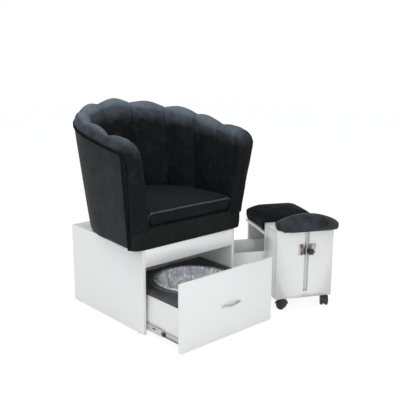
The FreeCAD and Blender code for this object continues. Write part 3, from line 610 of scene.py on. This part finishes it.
# A padded piece blown up from the solid that it stands for
def plumped(node, name, voxel, pressure, cap, rounds=4, shrink=0.003):
    mesh = record_nodes[node].data.copy()
    edit(mesh, bmesh.ops.remove_doubles, dist=0.00005)
    piece = add_object("remesh_work", mesh)
    put(piece.modifiers.new("remesh", "REMESH"), mode="VOXEL", voxel_size=voxel)
    fine = shape_of(piece)
    bpy.data.objects.remove(piece)
    fine.name = name
    relax(fine, rounds)
    inwards = [v.normal * -shrink for v in fine.vertices]
    for vert, move in zip(fine.vertices, inwards):
        vert.co += move
    fine.update()
    blow_out(fine, pressure, cap)
    relax(fine, 2)
    smooth(fine)
    return fine


# A tube along a line of points, as a mesh
def tube(name, points, radius):
    line = put(bpy.data.curves.new(name, "CURVE"), dimensions="3D", bevel_depth=radius, bevel_resolution=4,
               use_fill_caps=True, resolution_u=3)
    run = line.splines.new("NURBS")
    run.points.add(len(points) - 1)
    for spot, point in zip(run.points, points):
        spot.co = (*point, 1)
    run.order_u = 3
    run.use_endpoint_u = True
    holder = add_object(name, line)
    mesh = shape_of(holder)
    bpy.data.objects.remove(holder)
    mesh.name = name
    smooth(mesh)
    return mesh


# Chair curves: a share runs from -1 at the left arm front over 0 at the back to 1
def plan_lengths(plan):
    straight = plan[2] - chair_front_y
    quarter = math.pi / 2 * math.sqrt((plan[1] ** 2 + plan[3] ** 2) / 2)
    return straight, quarter


crest_straight, crest_quarter = plan_lengths(crest_plan)
crest_length = crest_straight + crest_quarter


def plan_point(plan, share):
    front_half, half, centre, back = plan
    straight, quarter = plan_lengths(plan)
    along = abs(share) * (straight + quarter)
    side = 1 if share > 0 else -1
    if along < quarter:
        angle = along / quarter * math.pi / 2
        return Vector((side * half * math.sin(angle), centre + back * math.cos(angle), 0))
    run = (along - quarter) / straight
    return Vector((side * (half + (front_half - half) * run), centre - straight * run, 0))


def outward(share):
    along = abs(share) * crest_length
    side = 1 if share > 0 else -1
    if along >= crest_quarter:
        return Vector((side, 0, 0))
    angle = along / crest_quarter * math.pi / 2
    return Vector((side * math.sin(angle) / crest_plan[1], math.cos(angle) / crest_plan[3], 0)).normalized()


def seam_shares():
    pitch = (crest_length + arm_front_depth) / (channel_pairs + 0.5)
    return [(k + 0.5) * pitch / crest_length for k in range(channel_pairs)] + [1]


def rim_z(share):
    rise = rim_rise * max(0, math.cos(abs(share) * math.pi / 2)) ** 1.5
    dip = rim_dip * max(0, math.sin(math.pi * min(1, abs(share) / rim_dip_share)))
    left = (1 - abs(share)) * crest_length + chair_front_y - crest_end_y
    short = max(0, crest_rounding - left)
    drop = crest_rounding - math.sqrt(crest_rounding ** 2 - short ** 2)
    return rim_front_z + rise - dip - drop


def roll_z(share):
    return rim_z(share) - roll_radius


def roll_outside(share):
    widening = max(0, abs(share) - widening_share) / (1 - widening_share)
    return outside_back + (outside_front - outside_back) * widening


def inside_point(share, offset, z):
    low = plan_point(seat_plan, share) + outward(share) * offset
    low.z = seat_line_z
    high = plan_point(crest_plan, share) - outward(share) * (roll_radius - offset)
    high.z = roll_z(share)
    return low + (high - low) * ((z - seat_line_z) / (high.z - seat_line_z))


def roll_point(share, radius, degrees):
    angle = math.radians(degrees)
    reach = radius * math.cos(angle)
    if degrees > 90:
        reach *= roll_outside(share) / roll_radius
    point = plan_point(crest_plan, share) - outward(share) * reach
    point.z = roll_z(share) + radius * math.sin(angle)
    return point


def wander(point, scale, seed=0.0):
    return noise.noise(Vector((point.x * scale + seed, point.y * scale, point.z * scale)))


# How far below the crown the cover lies across a channel: a soft arc that turns steep at the seams
def sink(across, depth_start, depth_end):
    side = 2 * across - 1
    depth = depth_start if side < 0 else depth_end
    if abs(side) > 1:
        return depth + (abs(side) - 1) * 0.35
    return depth * side ** 2


def lobe_point(share, across, depths, row):
    if row <= inside_rows:
        z = cover_foot_z + (roll_z(share) - cover_foot_z) * row / inside_rows
        return inside_point(share, sink(across, *depths), z)
    degrees = roll_sweep * (row - inside_rows) / roll_rows
    past = max(0, min(1, (degrees - 90) / 90))
    near = [depth * (1 - past) ** 1.5 for depth in depths]
    return roll_point(share, roll_radius - sink(across, *near), degrees)


# Painted light round a roll: none down inside, a painted highlight over the top, dimmer again on the outside
def lobe_painted_light(row):
    degrees = roll_sweep * (row - inside_rows) / roll_rows
    rise = max(0, min(1, (degrees + 75) / 130))
    fall = max(0, min(1, (degrees - 96) / 34))
    return rise * rise * (3 - 2 * rise) * (1 - 0.55 * fall)


# A painted highlight along the seams' edges on the inside
def seam_painted_highlight(across, row):
    edge = max(0, abs(2 * across - 1) - 0.90) / 0.10
    return 0.30 * edge * max(0, min(1, row / 30))


# Soft ripples, with fine gathers towards the seams
def creased(point, away, across, seed):
    gather = max(0, abs(2 * across - 1) - 0.3) ** 2 * 0.0022
    ripple = wander(point, 11.0, seed) * 0.0032 + wander(point, 48.0, seed) * gather
    return point - away * ripple + Vector((0, 0, ripple * 0.4))


def hold_near(distance):
    return 1.0 if distance < 0.001 else 0.0


# Painted shade: the painted light is dimmed towards the arms' fronts, which face away from the light
def close_lobe(mesh, name, covered):
    for painted_light_share, vert in zip(mesh.attributes["nap_and_painted_light"].data, mesh.vertices):
        painted_light_share.value *= 1 - 0.35 * max(0, min(1, (-0.15 - vert.co.y) / 0.4))
    blow_out(mesh, -1.0, 0.005, held_points(mesh), slack=0.004, bending=2.0, frames=12)
    piece = dress(mesh, name, "roll_velvet", "bench", covered)
    thicken(piece, 0.006, border=1.0)
    subdivide(piece)


def channel_piece(number, start, end):
    depths = (seam_depth, seam_depth)
    rows = inside_rows + roll_rows

    def place(u, w):
        across = u * (1 + 2 * border_tuck) - border_tuck
        share = start + (end - start) * across
        return creased(lobe_point(share, across, depths, w * rows), outward(share), across, number * 3.1)

    name = "channel_cover_%d" % number
    mesh = laid_sheet(name, lobe_columns, rows, place, lobe_size,
                      lambda u, w: max(lobe_painted_light(w * rows), seam_painted_highlight(u, w * rows)),
                      lambda u, w: hold_near(min(u, w, 1 - u, 1 - w)))
    close_lobe(mesh, name, ["back_channel_%d" % number])


# An arm's last channel runs on round its front, down to the platform
def arm_channel(number, side, start):
    own = (1 - start) * crest_length
    depths = (seam_depth, 0)
    rows = inside_rows + roll_rows
    outline_rows = 2 * (low_rows + inside_rows) + roll_rows
    top_z = roll_z(1)
    seed = number * 3.1

    def lobe_share(u):
        return start + (1 - start) * (u * (1 + border_tuck) - border_tuck)

    def across_at(u):
        return (lobe_share(u) - start) / (1 - start) * own / (own + arm_front_depth)

    def place(u, w):
        share = side * lobe_share(u)
        across = across_at(u)
        return creased(lobe_point(share, across, depths, w * rows), outward(share), across, seed)

    def low_z(row):
        if row <= low_rows:
            return arm_foot_z + (cover_foot_z - arm_foot_z) * row / low_rows
        return cover_foot_z + (top_z - cover_foot_z) * (row - low_rows) / inside_rows

    def outline(row):
        if row <= low_rows:
            return inside_point(side, 0, low_z(row))
        if row <= outline_rows - low_rows - inside_rows:
            return lobe_point(side, 1, depths, row - low_rows)
        run = (row - low_rows - rows) / (low_rows + inside_rows)
        start_point = roll_point(side, roll_radius, roll_sweep)
        end_point = cover_point(side, (arm_foot_z - platform_top) / (top_z - platform_top))
        point = start_point + (end_point - start_point) * run
        point.x -= side * 0.003 * min(1, run * 8)
        return point

    def spine(row):
        nearest = min(row, outline_rows - row, low_rows + inside_rows)
        z = min(low_z(nearest), top_z - pole_drop)
        reach = (z - platform_top) / (top_z - platform_top)
        low_x = (abs(inside_point(side, 0, platform_top).x) + base_plan[0]) / 2
        x = low_x + (crest_plan[0] - low_x) * reach
        return Vector((side * x, front_low_y - front_lean * reach, z)), reach

    def cap(t, v):
        row = v * outline_rows
        rim = outline(row)
        middle, reach = spine(row)
        left = math.cos(t * math.pi / 2)
        over = max(0, min(1, (row - low_rows - inside_rows + 4) / (roll_rows + 4)))
        crown = max(0, math.sin(math.pi * over))
        fullness = front_fullness + (crest_fullness - front_fullness) * crown
        forward = (1 - left ** fullness) ** (1 / fullness)
        point = middle + (rim - middle) * left
        point.y = rim.y + (middle.y - rim.y) * forward
        fold = 0.003 * (1 - reach) ** 2 * math.sin(t * 11) * (1 if row > outline_rows / 2 else 0.3)
        away = (outward(side) * left + Vector((0, -1, 0)) * (1 - left)).normalized()
        return creased(point, away, across_at(1), seed) + Vector((0, -fold * (1 - left), 0))

    # Painted light on the arm's front cap: the roll's painted highlight round its rim, fading towards its
    # middle and down the front
    def cap_painted_light(t, v):
        row = v * outline_rows - low_rows
        over = lobe_painted_light(min(row, inside_rows + roll_rows)) * 0.74
        down = max(0, row - inside_rows - roll_rows * 0.8) / 12
        return over * max(0, 1 - down) * math.cos(t * math.pi / 2) ** 1.5

    work = bmesh.new()
    lay_grid(work, arm_columns, rows, place, lobe_size, lambda u, w: lobe_painted_light(w * rows),
             lambda u, w: hold_near(min(u, w, 1 - w)))
    lay_grid(work, cap_columns, outline_rows, cap, cap_size, cap_painted_light,
             lambda t, v: hold_near(min(v, 1 - v, t if v > 0.57 else 1)))
    bmesh.ops.remove_doubles(work, verts=work.verts, dist=0.0002)
    if side < 0:
        bmesh.ops.reverse_faces(work, faces=work.faces)
    name = "channel_cover_%d" % number
    word = "left" if side < 0 else "right"
    close_lobe(to_mesh(work, name), name, ["back_channel_%d" % number, "arm_front_" + word])


# The outer cover's edges: its top follows the roll, and its front corner is rounded and leans forward
def front_run(share):
    return max(0, abs(share) * crest_length - crest_quarter) / crest_straight


def cover_point(share, w):
    run = front_run(share)
    left = (1 - run) * (crest_straight + arm_front_depth)
    drop = 0
    if left < edge_corner:
        drop = edge_corner - math.sqrt(edge_corner ** 2 - (edge_corner - left) ** 2)
    low = plan_point(base_plan, share)
    low.z = platform_top + 0.001
    high = roll_point(share, roll_radius, 180)
    reach = w * (high.z - 0.001 - drop - low.z) / (high.z - low.z)
    point = low + (high - low) * reach
    point.y += run * (edge_low_y - chair_front_y - edge_lean * reach)
    return point


# An even run from -1 to 1, with its steps crowded towards both ends
def crowded(place):
    return math.copysign(1 - (1 - abs(place)) ** crowding, place)


def outer_cover():
    def place(u, w):
        share = crowded(2 * u - 1)
        puff = 0.004 * math.sin(math.pi * w) ** 0.6 * (1 - front_run(share) ** 6)
        tuck = 0.006 * max(0, 1 - w / 0.03) ** 2
        pull = wander(Vector((share * 9, w * 1.5, 0)), 1.0, 4.2) * 0.0022
        return cover_point(share, w) + outward(share) * (puff - tuck + pull)

    mesh = laid_sheet("outer_cover", 170, 40, place, (2.2, 0.6))
    mesh.attributes.remove(mesh.attributes["hold"])
    piece = dress(mesh, "outer_cover", "side_velvet", "bench", ["outer_shell"])
    thicken(piece, 0.012, 1.0)
    subdivide(piece)


# Two dark welts follow the outer cover's edge: up one arm's front, over the crest and down the other
def rim_welt():
    steps = 120
    for number, (inset, stand, radius) in enumerate(((0.0, 0.0030, 0.0046), (0.010, 0.0034, 0.0040)), 1):
        points = rising_welt(-1, inset, stand)
        for step in range(1, steps):
            share = crowded(2 * step / steps - 1)
            lean = max(0, 1 - (1 - front_run(share)) / 0.11)
            points.append(cover_point(share, 1) + outward(share) * stand
                          + Vector((0, inset * lean, -inset * (1 - lean))))
        points += rising_welt(1, inset, stand)[::-1]
        name = "rim_welt_%d" % number
        dress(tube(name, points, radius), name, "dark_thread", "bench")


def rising_welt(side, inset, stand):
    aside = Vector((side * stand, inset, 0))
    points = [cover_point(side, step / 14 * (1 - inset)) + aside for step in range(15)]
    points[0].z += 0.003
    return points


def seated_line(mesh, points, lift):
    tree = BVHTree.FromPolygons([v.co for v in mesh.vertices], [p.vertices for p in mesh.polygons])
    line = []
    for point in points:
        spot, normal, _, _ = tree.find_nearest(point)
        line.append(spot + normal * lift)
    return line


def seat_cushion():
    mesh = plumped("seat_cushion", "seat_cushion_cover", 0.006, 4.0, 0.010)
    low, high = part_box("seat_cushion")
    for vert in mesh.vertices:
        vert.co.x *= 1 + 0.035 * max(0, min(1, (-0.45 - vert.co.y) / 0.2))
    mesh.update()
    welt_z = low.z + 0.076
    front = low.y + 0.006
    half = inside_point(1, 0, welt_z).x - 0.006
    back = [inside_point((1 - 2 * step / 79) * 0.93, -0.005, welt_z) for step in range(80)]
    run = [(half - 0.012) * (2 * step / 24 - 1) for step in range(25)]
    edge = [Vector((x, front - 0.003 * (1 - (x / half) ** 2), welt_z)) for x in run]
    left, right = ([Vector((side * half, front + 0.018, welt_z - 0.020)),
                    Vector((side * half, front + 0.030, welt_z - 0.050))] for side in (-1, 1))
    # The front welt takes the paler velvet as a painted highlight
    for name, points, radius, finish in (("seat_welt", back, 0.0036, "seat_velvet"),
                                         ("seat_front_welt", left[::-1] + edge + right, 0.0050, "piping")):
        dress(tube(name, seated_line(mesh, points, 0.0015), radius), name, finish, "bench")
    piece = dress(mesh, "seat_cushion_cover", "seat_velvet", "bench", ["seat_cushion"])


# The padded band under the cushion runs on round both front corners
def band_path(place):
    side = math.copysign(1, place)
    run = abs(place) * (1 + band_corner)
    if run <= 1:
        return Vector((side * run * band_half, band_y, 0)), Vector((0, -1, 0))
    angle = (run - 1) / band_corner * math.pi / 2
    x = band_half + (base_plan[0] + 0.001 - band_half) * math.sin(angle) ** 0.9
    y = edge_low_y + (band_y - edge_low_y) * math.cos(angle) ** 0.9
    return Vector((side * x, y, 0)), Vector((side * math.sin(angle), -math.cos(angle), 0))


def front_band():
    def place(u, w):
        point, away = band_path(2 * u - 1)
        face = min(1, w / band_face)
        curl = max(0, (w - band_face) / (1 - band_face)) * math.pi / 2
        rise = (band_top - band_curl - platform_top) * face
        point.z = platform_top + 0.002 + rise + band_curl * math.sin(curl)
        lean = edge_lean * 0.18 * face if away.x else 0
        puff = 0.004 * math.sin(math.pi * face) ** 0.6
        pull = wander(Vector((u * 26, w * 2.2, 0)), 1.0, 7.7) * 0.0022
        return point + (away * (puff + pull - 0.014 * (1 - math.cos(curl))) + Vector((0, -lean, 0)))

    mesh = laid_sheet("front_band", 150, 26, place, (0.86, 0.13))
    mesh.attributes.remove(mesh.attributes["hold"])
    piece = dress(mesh, "front_band", "arm_velvet", "bench", ["front_apron"])
    thicken(piece, 0.008)
    subdivide(piece)


def stool_pads():
    mesh = plumped("stool_seat_cushion", "stool_seat_pad", 0.006, 5.0, 0.014, rounds=5, shrink=0.002)
    piece = dress(mesh, "stool_seat_pad", "seat_upholstery", "stool", ["stool_seat_cushion"])
    mesh = plumped("footrest_pad", "footrest_cover", 0.005, 4.0, 0.006, rounds=3, shrink=0.001)
    piece = dress(mesh, "footrest_cover", "footrest_upholstery", "footrest",
                  ["footrest_pad"])


# Foot bath
def bowl_profile(offset, top, steps=16):
    start = Vector((basin_floor_radius - offset / 2, basin_floor_z + offset))
    end = Vector((basin_rim_radius - offset, top))
    middle = (start + end) / 2
    normal = Vector((end.y - start.y, start.x - end.x)).normalized()
    line = []
    for step in range(steps + 1):
        t = step / steps
        point = start + (end - start) * t + normal * basin_belly * 4 * t * (1 - t)
        line.append((point.x, point.y))
    return line


def foot_bowl():
    inner = [(0.0004, basin_floor_z), (0.06, basin_floor_z), (0.095, basin_floor_z + 0.001)]
    inner += bowl_profile(0.0, basin_rim_top - 0.003)
    rim = [(basin_rim_radius + out, basin_rim_top - drop)
           for out, drop in ((0.001, 0), (0.005, 0), (0.008, 0.002), (0.011, 0.004))]
    flange = [(basin_flange_radius - 0.006, basin_board_top + 0.0032),
              (basin_flange_radius - 0.001, basin_board_top + 0.0022),
              (basin_flange_radius, basin_board_top + 0.0003),
              (basin_rim_radius + 0.0022, basin_board_top + 0.0003)]
    outer = bowl_profile(-0.002, basin_board_top - 0.001)[::-1]
    under = [(0.06, basin_floor_z - 0.002), (0.0004, basin_floor_z - 0.002)]
    mesh = turned("foot_bowl", inner + rim + flange + outer + under, Vector((0, basin_y, 0)), 128)
    dress(mesh, "foot_bowl", "basin_plastic", "drawer", ["foot_basin"])


# The film is folded round the wall, creased on the floor and ruffled where it laps over the rim
def film_liner():
    profile = [(0.0005, basin_floor_z + 0.006), (0.03, basin_floor_z + 0.006), (0.06, basin_floor_z + 0.006),
               (0.088, basin_floor_z + 0.007)]
    profile += bowl_profile(0.004, basin_rim_top - 0.001, 22)
    profile += [(basin_rim_radius + out, basin_rim_top + rise)
                for out, rise in ((0.002, 0.003), (0.009, 0.002), (0.017, 0), (0.024, -0.0015))]
    mesh = turned("film_liner", profile, Vector((0, basin_y, 0)), 160, closed=False)
    for vert in mesh.vertices:
        away = Vector((vert.co.x, vert.co.y - basin_y, 0))
        radius = away.length
        turn = math.atan2(away.y, away.x)
        spot = Vector((math.cos(turn) * 2.2, math.sin(turn) * 2.2, radius * 9))
        fold = abs(noise.noise(spot * 2.6)) * 0.9 + abs(noise.noise(spot * 6.0)) * 0.45
        inwards = away.normalized() * -1 if radius > 0.001 else Vector((0, 0, 1))
        wall = min(1, max(0, (radius - 0.03) / 0.05))
        collar = min(1, max(0, radius - basin_rim_radius - 0.004) / 0.02)
        depth = 0.010 * fold * wall * (1 - collar)
        vert.co += inwards * depth + Vector((0, 0, depth * 0.5 + 0.004 * fold * (1 - wall)))
        if collar > 0:
            vert.co.z += 0.0015 * collar * abs(math.sin(turn * 47 + 3 * noise.noise(spot))) + 0.0004
    mesh.update()
    thicken(dress(mesh, "film_liner", "clear_film", "drawer", ["basin_liner"]), 0.0004)


# Ball rows, a black stop, two chromed hooks and a dark block standing for the shade in the release slot, all
# on the slides' middle members
def slide_details():
    for side, word in ((-1, "left"), (1, "right")):
        balls = bmesh.new()
        for rise in (0.0159, -0.0159):
            for step in range(9):
                ball = bmesh.ops.create_icosphere(balls, subdivisions=2, radius=0.0013)["verts"]
                place = on_slide(side, 0.0055, -0.842 + step * 0.012, rise)
                nudge(balls, ball, place)
        dress_work(balls, "slide_balls_" + word, "slide_steel", "slide_carriage")
        stop = rounded_block((0.0095, 0.022, 0.027), 0.004, on_slide(side, 0.0062, -0.834, 0))
        dress_work(stop, "slide_stop_" + word, "bumper", "slide_carriage")
        # A dark block in the release slot: painted shade where the slot is
        release = rounded_block((0.0020, 0.027, 0.0085), 0.0008, on_slide(side, 0.0103, -0.764, 0.006))
        dress_work(release, "slide_slot_" + word, "bumper", "slide_carriage")
        for number, (rise, reach) in enumerate(((0.008, 0.012), (-0.006, 0.016)), 1):
            turns = [0.8 * step for step in range(7)]
            bend = [on_slide(side, 0.0099, -0.808 + reach * math.cos(turn), rise + 0.006 * math.sin(turn))
                    for turn in turns]
            name = "slide_hook_%s_%d" % (word, number)
            dress(tube(name, bend, 0.0014), name, "chrome", "slide_carriage")


def on_slide(side, out, y, rise):
    return side * (slide_x + out), y, slide_z + rise


def handle_feet():
    for side, word in ((-1, "left"), (1, "right")):
        work = bmesh.new()
        drum(work, 32, 0.0085, 0.0068, 0.004)
        round_off(work, sharp(work, 0.9), 0.0008, 2)
        forward = Matrix.Rotation(math.radians(90), 3, "X")
        bmesh.ops.rotate(work, verts=work.verts, cent=(0, 0, 0), matrix=forward)
        place = (handle_x + side * handle_half_span, handle_face_y, handle_z)
        nudge(work, work.verts, place)
        dress_work(work, "handle_foot_" + word, "handle_steel", "drawer")


# Stool: places are given from its front left corner
def on_stool(x, y, z):
    spot = Vector((x, y, 0))
    spot.rotate(Matrix.Rotation(stool_turn, 3, "Z"))
    return stool_corner + spot + Vector((0, 0, z))


# A piece that was made looking up is turned forward, at a place on the stool's front
def dress_front(work, name, place, finish, body, replaced=()):
    mesh = to_mesh(work, name)
    aim = Matrix.Rotation(stool_turn, 4, "Z") @ Matrix.Rotation(math.radians(90), 4, "X")
    mesh.transform(Matrix.Translation(on_stool(*place)) @ aim)
    dress(mesh, name, finish, body, replaced)


def wheel_profile():
    rim, half = wheel_radius, wheel_width / 2
    tyre = [(rim - 0.0045, -half), (rim - 0.0015, -half + 0.0015), (rim, -half + 0.0045), (rim, -0.0012),
            (rim - 0.0012, 0.0), (rim, 0.0012), (rim, half - 0.0045), (rim - 0.0015, half - 0.0015),
            (rim - 0.0045, half)]
    dish = [(rim - 0.007, half), (rim - 0.009, half - 0.0025), (0.013, half - 0.0025)]
    hub = [(0.012, half - 0.0005), (0.0045, half - 0.0005)]
    return [(0.0045, -half)] + tyre + dish + hub


def wheels():
    for place, turn in caster_turns.items():
        turn = math.radians(turn)
        x = caster_inset if "left" in place else stool_width - caster_inset
        y = caster_inset if "front" in place else stool_end - caster_inset
        centre = on_stool(x + caster_trail * math.cos(turn), y + caster_trail * math.sin(turn), wheel_radius)
        swing = Matrix.Translation(centre) @ Matrix.Rotation(turn + stool_turn, 4, "Z")
        for side, word in ((-1, "a"), (1, "b")):
            name = "wheel_%s_%s" % (place, word)
            mesh = turned(name, wheel_profile(), Vector(), 56)
            tilt = Matrix.Rotation(math.radians(-90 * side), 4, "X")
            shift = Matrix.Translation((0, side * (wheel_gap + wheel_width / 2), 0))
            mesh.transform(swing @ shift @ tilt)
            piece = dress(mesh, name, "wheel_plastic", "wheels_" + place)
            if side < 0:
                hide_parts("caster_wheels_" + place)


# A six-lobed star with a hub, on its bolt
def knob():
    work = bmesh.new()
    bmesh.ops.create_circle(work, cap_ends=True, segments=96, radius=knob_radius)
    for vert in work.verts:
        swell = math.cos(6 * math.atan2(vert.co.y, vert.co.x))
        reach = 0.0165 + 0.0040 * max(0, swell) ** 0.7 - 0.0020 * max(0, -swell)
        vert.co *= reach / knob_radius
    raised = bmesh.ops.extrude_face_region(work, geom=work.faces[:])
    top = [item for item in raised["geom"] if isinstance(item, bmesh.types.BMVert)]
    nudge(work, top, (0, 0, 0.016))
    bmesh.ops.recalc_face_normals(work, faces=work.faces)
    round_off(work, sharp(work, 0.9), 0.0022, 3)
    nudge(work, work.verts, (0, 0, 0.006))
    hub = drum(work, 32, 0.0075, 0.0085, knob_hub)
    nudge(work, hub, (0, 0, knob_hub / 2))
    bolt = bmesh.new()
    drum(bolt, 24, 0.004, 0.004, 0.037)
    nudge(bolt, bolt.verts, (0, 0, -0.0185))
    dress_front(work, "star_knob", bolt_place, "black_plastic", "knob", ["clamp_knob"])
    dress_front(bolt, "knob_bolt", bolt_place, "bracket_steel", "knob", ["clamp_knob"])


# Cross-head screws of the clamp's two plates, and dark blocks standing for the shade in their slotted holes
def clamp_details():
    screws = [(slot_middle - 0.052, 0.388), (slot_middle - 0.052, 0.336), (slot_middle + 0.056, 0.388)]
    for number, (x, z) in enumerate(screws, 1):
        work = bmesh.new()
        drum(work, 28, 0.0052, 0.0034, 0.0022)
        round_off(work, sharp(work, 0.6), 0.0005, 2)
        for turn in (0.4, 0.4 + math.pi / 2):
            bar = bmesh.ops.create_cube(work, size=1.0)["verts"]
            bmesh.ops.scale(work, verts=bar, vec=(0.0044, 0.0010, 0.0008))
            bmesh.ops.rotate(work, verts=bar, matrix=Matrix.Rotation(turn, 3, "Z"))
            nudge(work, bar, (0, 0, 0.0012))
        name = "clamp_screw_%d" % number
        dress_front(work, name, (x, -0.0041, z), "chrome", "stool")
    # Dark blocks in the slotted holes: painted shade
    holes = [(slot_middle - 0.036, 0.385, 0.020), (slot_middle - 0.034, 0.340, 0.016)]
    for number, (x, z, height) in enumerate(holes, 1):
        work = rounded_block((0.009, height, 0.0012), 0.0005, (0, 0, 0))
        name = "clamp_slot_shade_%d" % number
        dress_front(work, name, (x, -0.0036, z), "bumper", "stool")


# The frame's own rigid nodes keep their shape and get a finish; the laminate boards, the yokes and a few
# small parts also get softened edges
def frame_finishes():
    yokes = ["caster_yoke_" + place for place in caster_turns]
    finish_of = {
        # The front rail and the stool's sides are painted paler to lift their shade
        "bright_laminate": ["front_rail", "stool_side_left", "stool_side_right"],
        # The tongue is painted darker as the shade in its recess
        "grey_laminate": ["footrest_tongue"],
        "white_laminate": ["side_panel_left", "side_panel_right", "back_panel", "top_deck", "drawer_front",
                           "drawer_side_left", "drawer_side_right", "drawer_back", "drawer_bottom",
                           "stool_base", "stool_front_left", "stool_front_right", "stool_divider",
                           "stool_back", "stool_top", "stool_seat_board", "stool_drawer_box"],
        "handle_steel": ["drawer_handle"],
        "slide_steel": ["slide_outers", "slide_middles", "slide_inners"],
        "plated_bracket": ["clamp_brackets"],
        "bracket_steel": ["chair_bolts", "caster_plates"],
        "black_plastic": ["floor_glides", "footrest_board"] + yokes,
        "speckled_board": ["basin_board"],
        "black_lining": ["back_frame", "seat_frame"],
    }
    small = ["drawer_handle", "clamp_brackets", "basin_board", "floor_glides"]
    for finish, names in finish_of.items():
        for name in names:
            paint(record_nodes[name].data, finish)
            if "laminate" in finish:
                ease_edges(record_nodes[name], 0.0008)
            elif name in small:
                ease_edges(record_nodes[name], 0.0005)
            elif name in yokes:
                ease_edges(record_nodes[name], 0.0006)


def build_pieces():
    frame_finishes()
    seams = seam_shares()
    borders = [-share for share in reversed(seams)] + seams
    for number in range(1, 2 * channel_pairs):
        channel_piece(number + 1, borders[number], borders[number + 1])
    arm_channel(1, -1, seams[-2])
    arm_channel(2 * channel_pairs + 1, 1, seams[-2])
    outer_cover()
    rim_welt()
    seat_cushion()
    front_band()
    stool_pads()
    foot_bowl()
    film_liner()
    wheels()
    knob()
    slide_details()
    clamp_details()
    handle_feet()


# The photograph's view, a pale floor and soft light
def place_camera():
    yaw, pitch, roll = (math.radians(turn) for turn in camera_turns)
    forward = Vector((math.sin(yaw) * math.cos(pitch), math.cos(yaw) * math.cos(pitch), -math.sin(pitch)))
    level = Vector((math.cos(yaw), -math.sin(yaw), 0))
    upright = level.cross(forward)
    right = level * math.cos(roll) + upright * math.sin(roll)
    up = upright * math.cos(roll) - level * math.sin(roll)
    camera = add_object("camera", put(bpy.data.cameras.new("camera"), sensor_width=36, lens=camera_lens))
    turned_axes = Matrix((right, up, -forward)).transposed().to_4x4()
    camera.matrix_world = Matrix.Translation(camera_place) @ turned_axes
    scene.camera = camera


def lamp(name, place, target, size, power):
    data = put(bpy.data.lights.new(name, "AREA"), shape="DISK", size=size, energy=power)
    holder = add_object(name, data)
    holder.location = place
    holder.rotation_euler = (Vector(target) - Vector(place)).to_track_quat("-Z", "Y").to_euler()


def lay_floor():
    work = bmesh.new()
    bmesh.ops.create_grid(work, x_segments=1, y_segments=1, size=14.0)
    mesh = bpy.data.meshes.new("floor")
    work.to_mesh(mesh)
    work.free()
    mesh.materials.append(plain_floor())
    floor = add_object("floor", mesh)


# The backdrop is white to the eye, and lights the object more softly than it looks
def light_world():
    world = bpy.data.worlds.new("studio")
    scene.world = world
    world.use_nodes = True
    tree = world.node_tree
    tree.nodes.clear()
    mix = tree.nodes.new("ShaderNodeMixShader")
    feed(tree, mix.inputs[0], seen_by(tree, "Is Camera Ray", "Is Transmission Ray"))
    for number, (tone, strength) in enumerate((((0.97, 0.98, 1.0), 0.62), ((1, 1, 1), 1.0))):
        light = tree.nodes.new("ShaderNodeBackground")
        feed(tree, light.inputs["Color"], tone)
        light.inputs["Strength"].default_value = strength
        tree.links.new(light.outputs[0], mix.inputs[1 + number])
    end = tree.nodes.new("ShaderNodeOutputWorld")
    tree.links.new(mix.outputs[0], end.inputs[0])


scene.view_settings.view_transform = "Standard"
place_camera()
lay_floor()
light_world()
lamp("left", (-4.2, -2.0, 2.6), (0, -0.6, 0.4), 2.6, 30)
lamp("front", (-1.2, -4.6, 1.3), (0.1, -0.6, 0.4), 2.0, 26)
lamp("top", (-0.3, -0.3, 4.2), (0.1, -0.5, 0.6), 2.8, 64)
build_pieces()
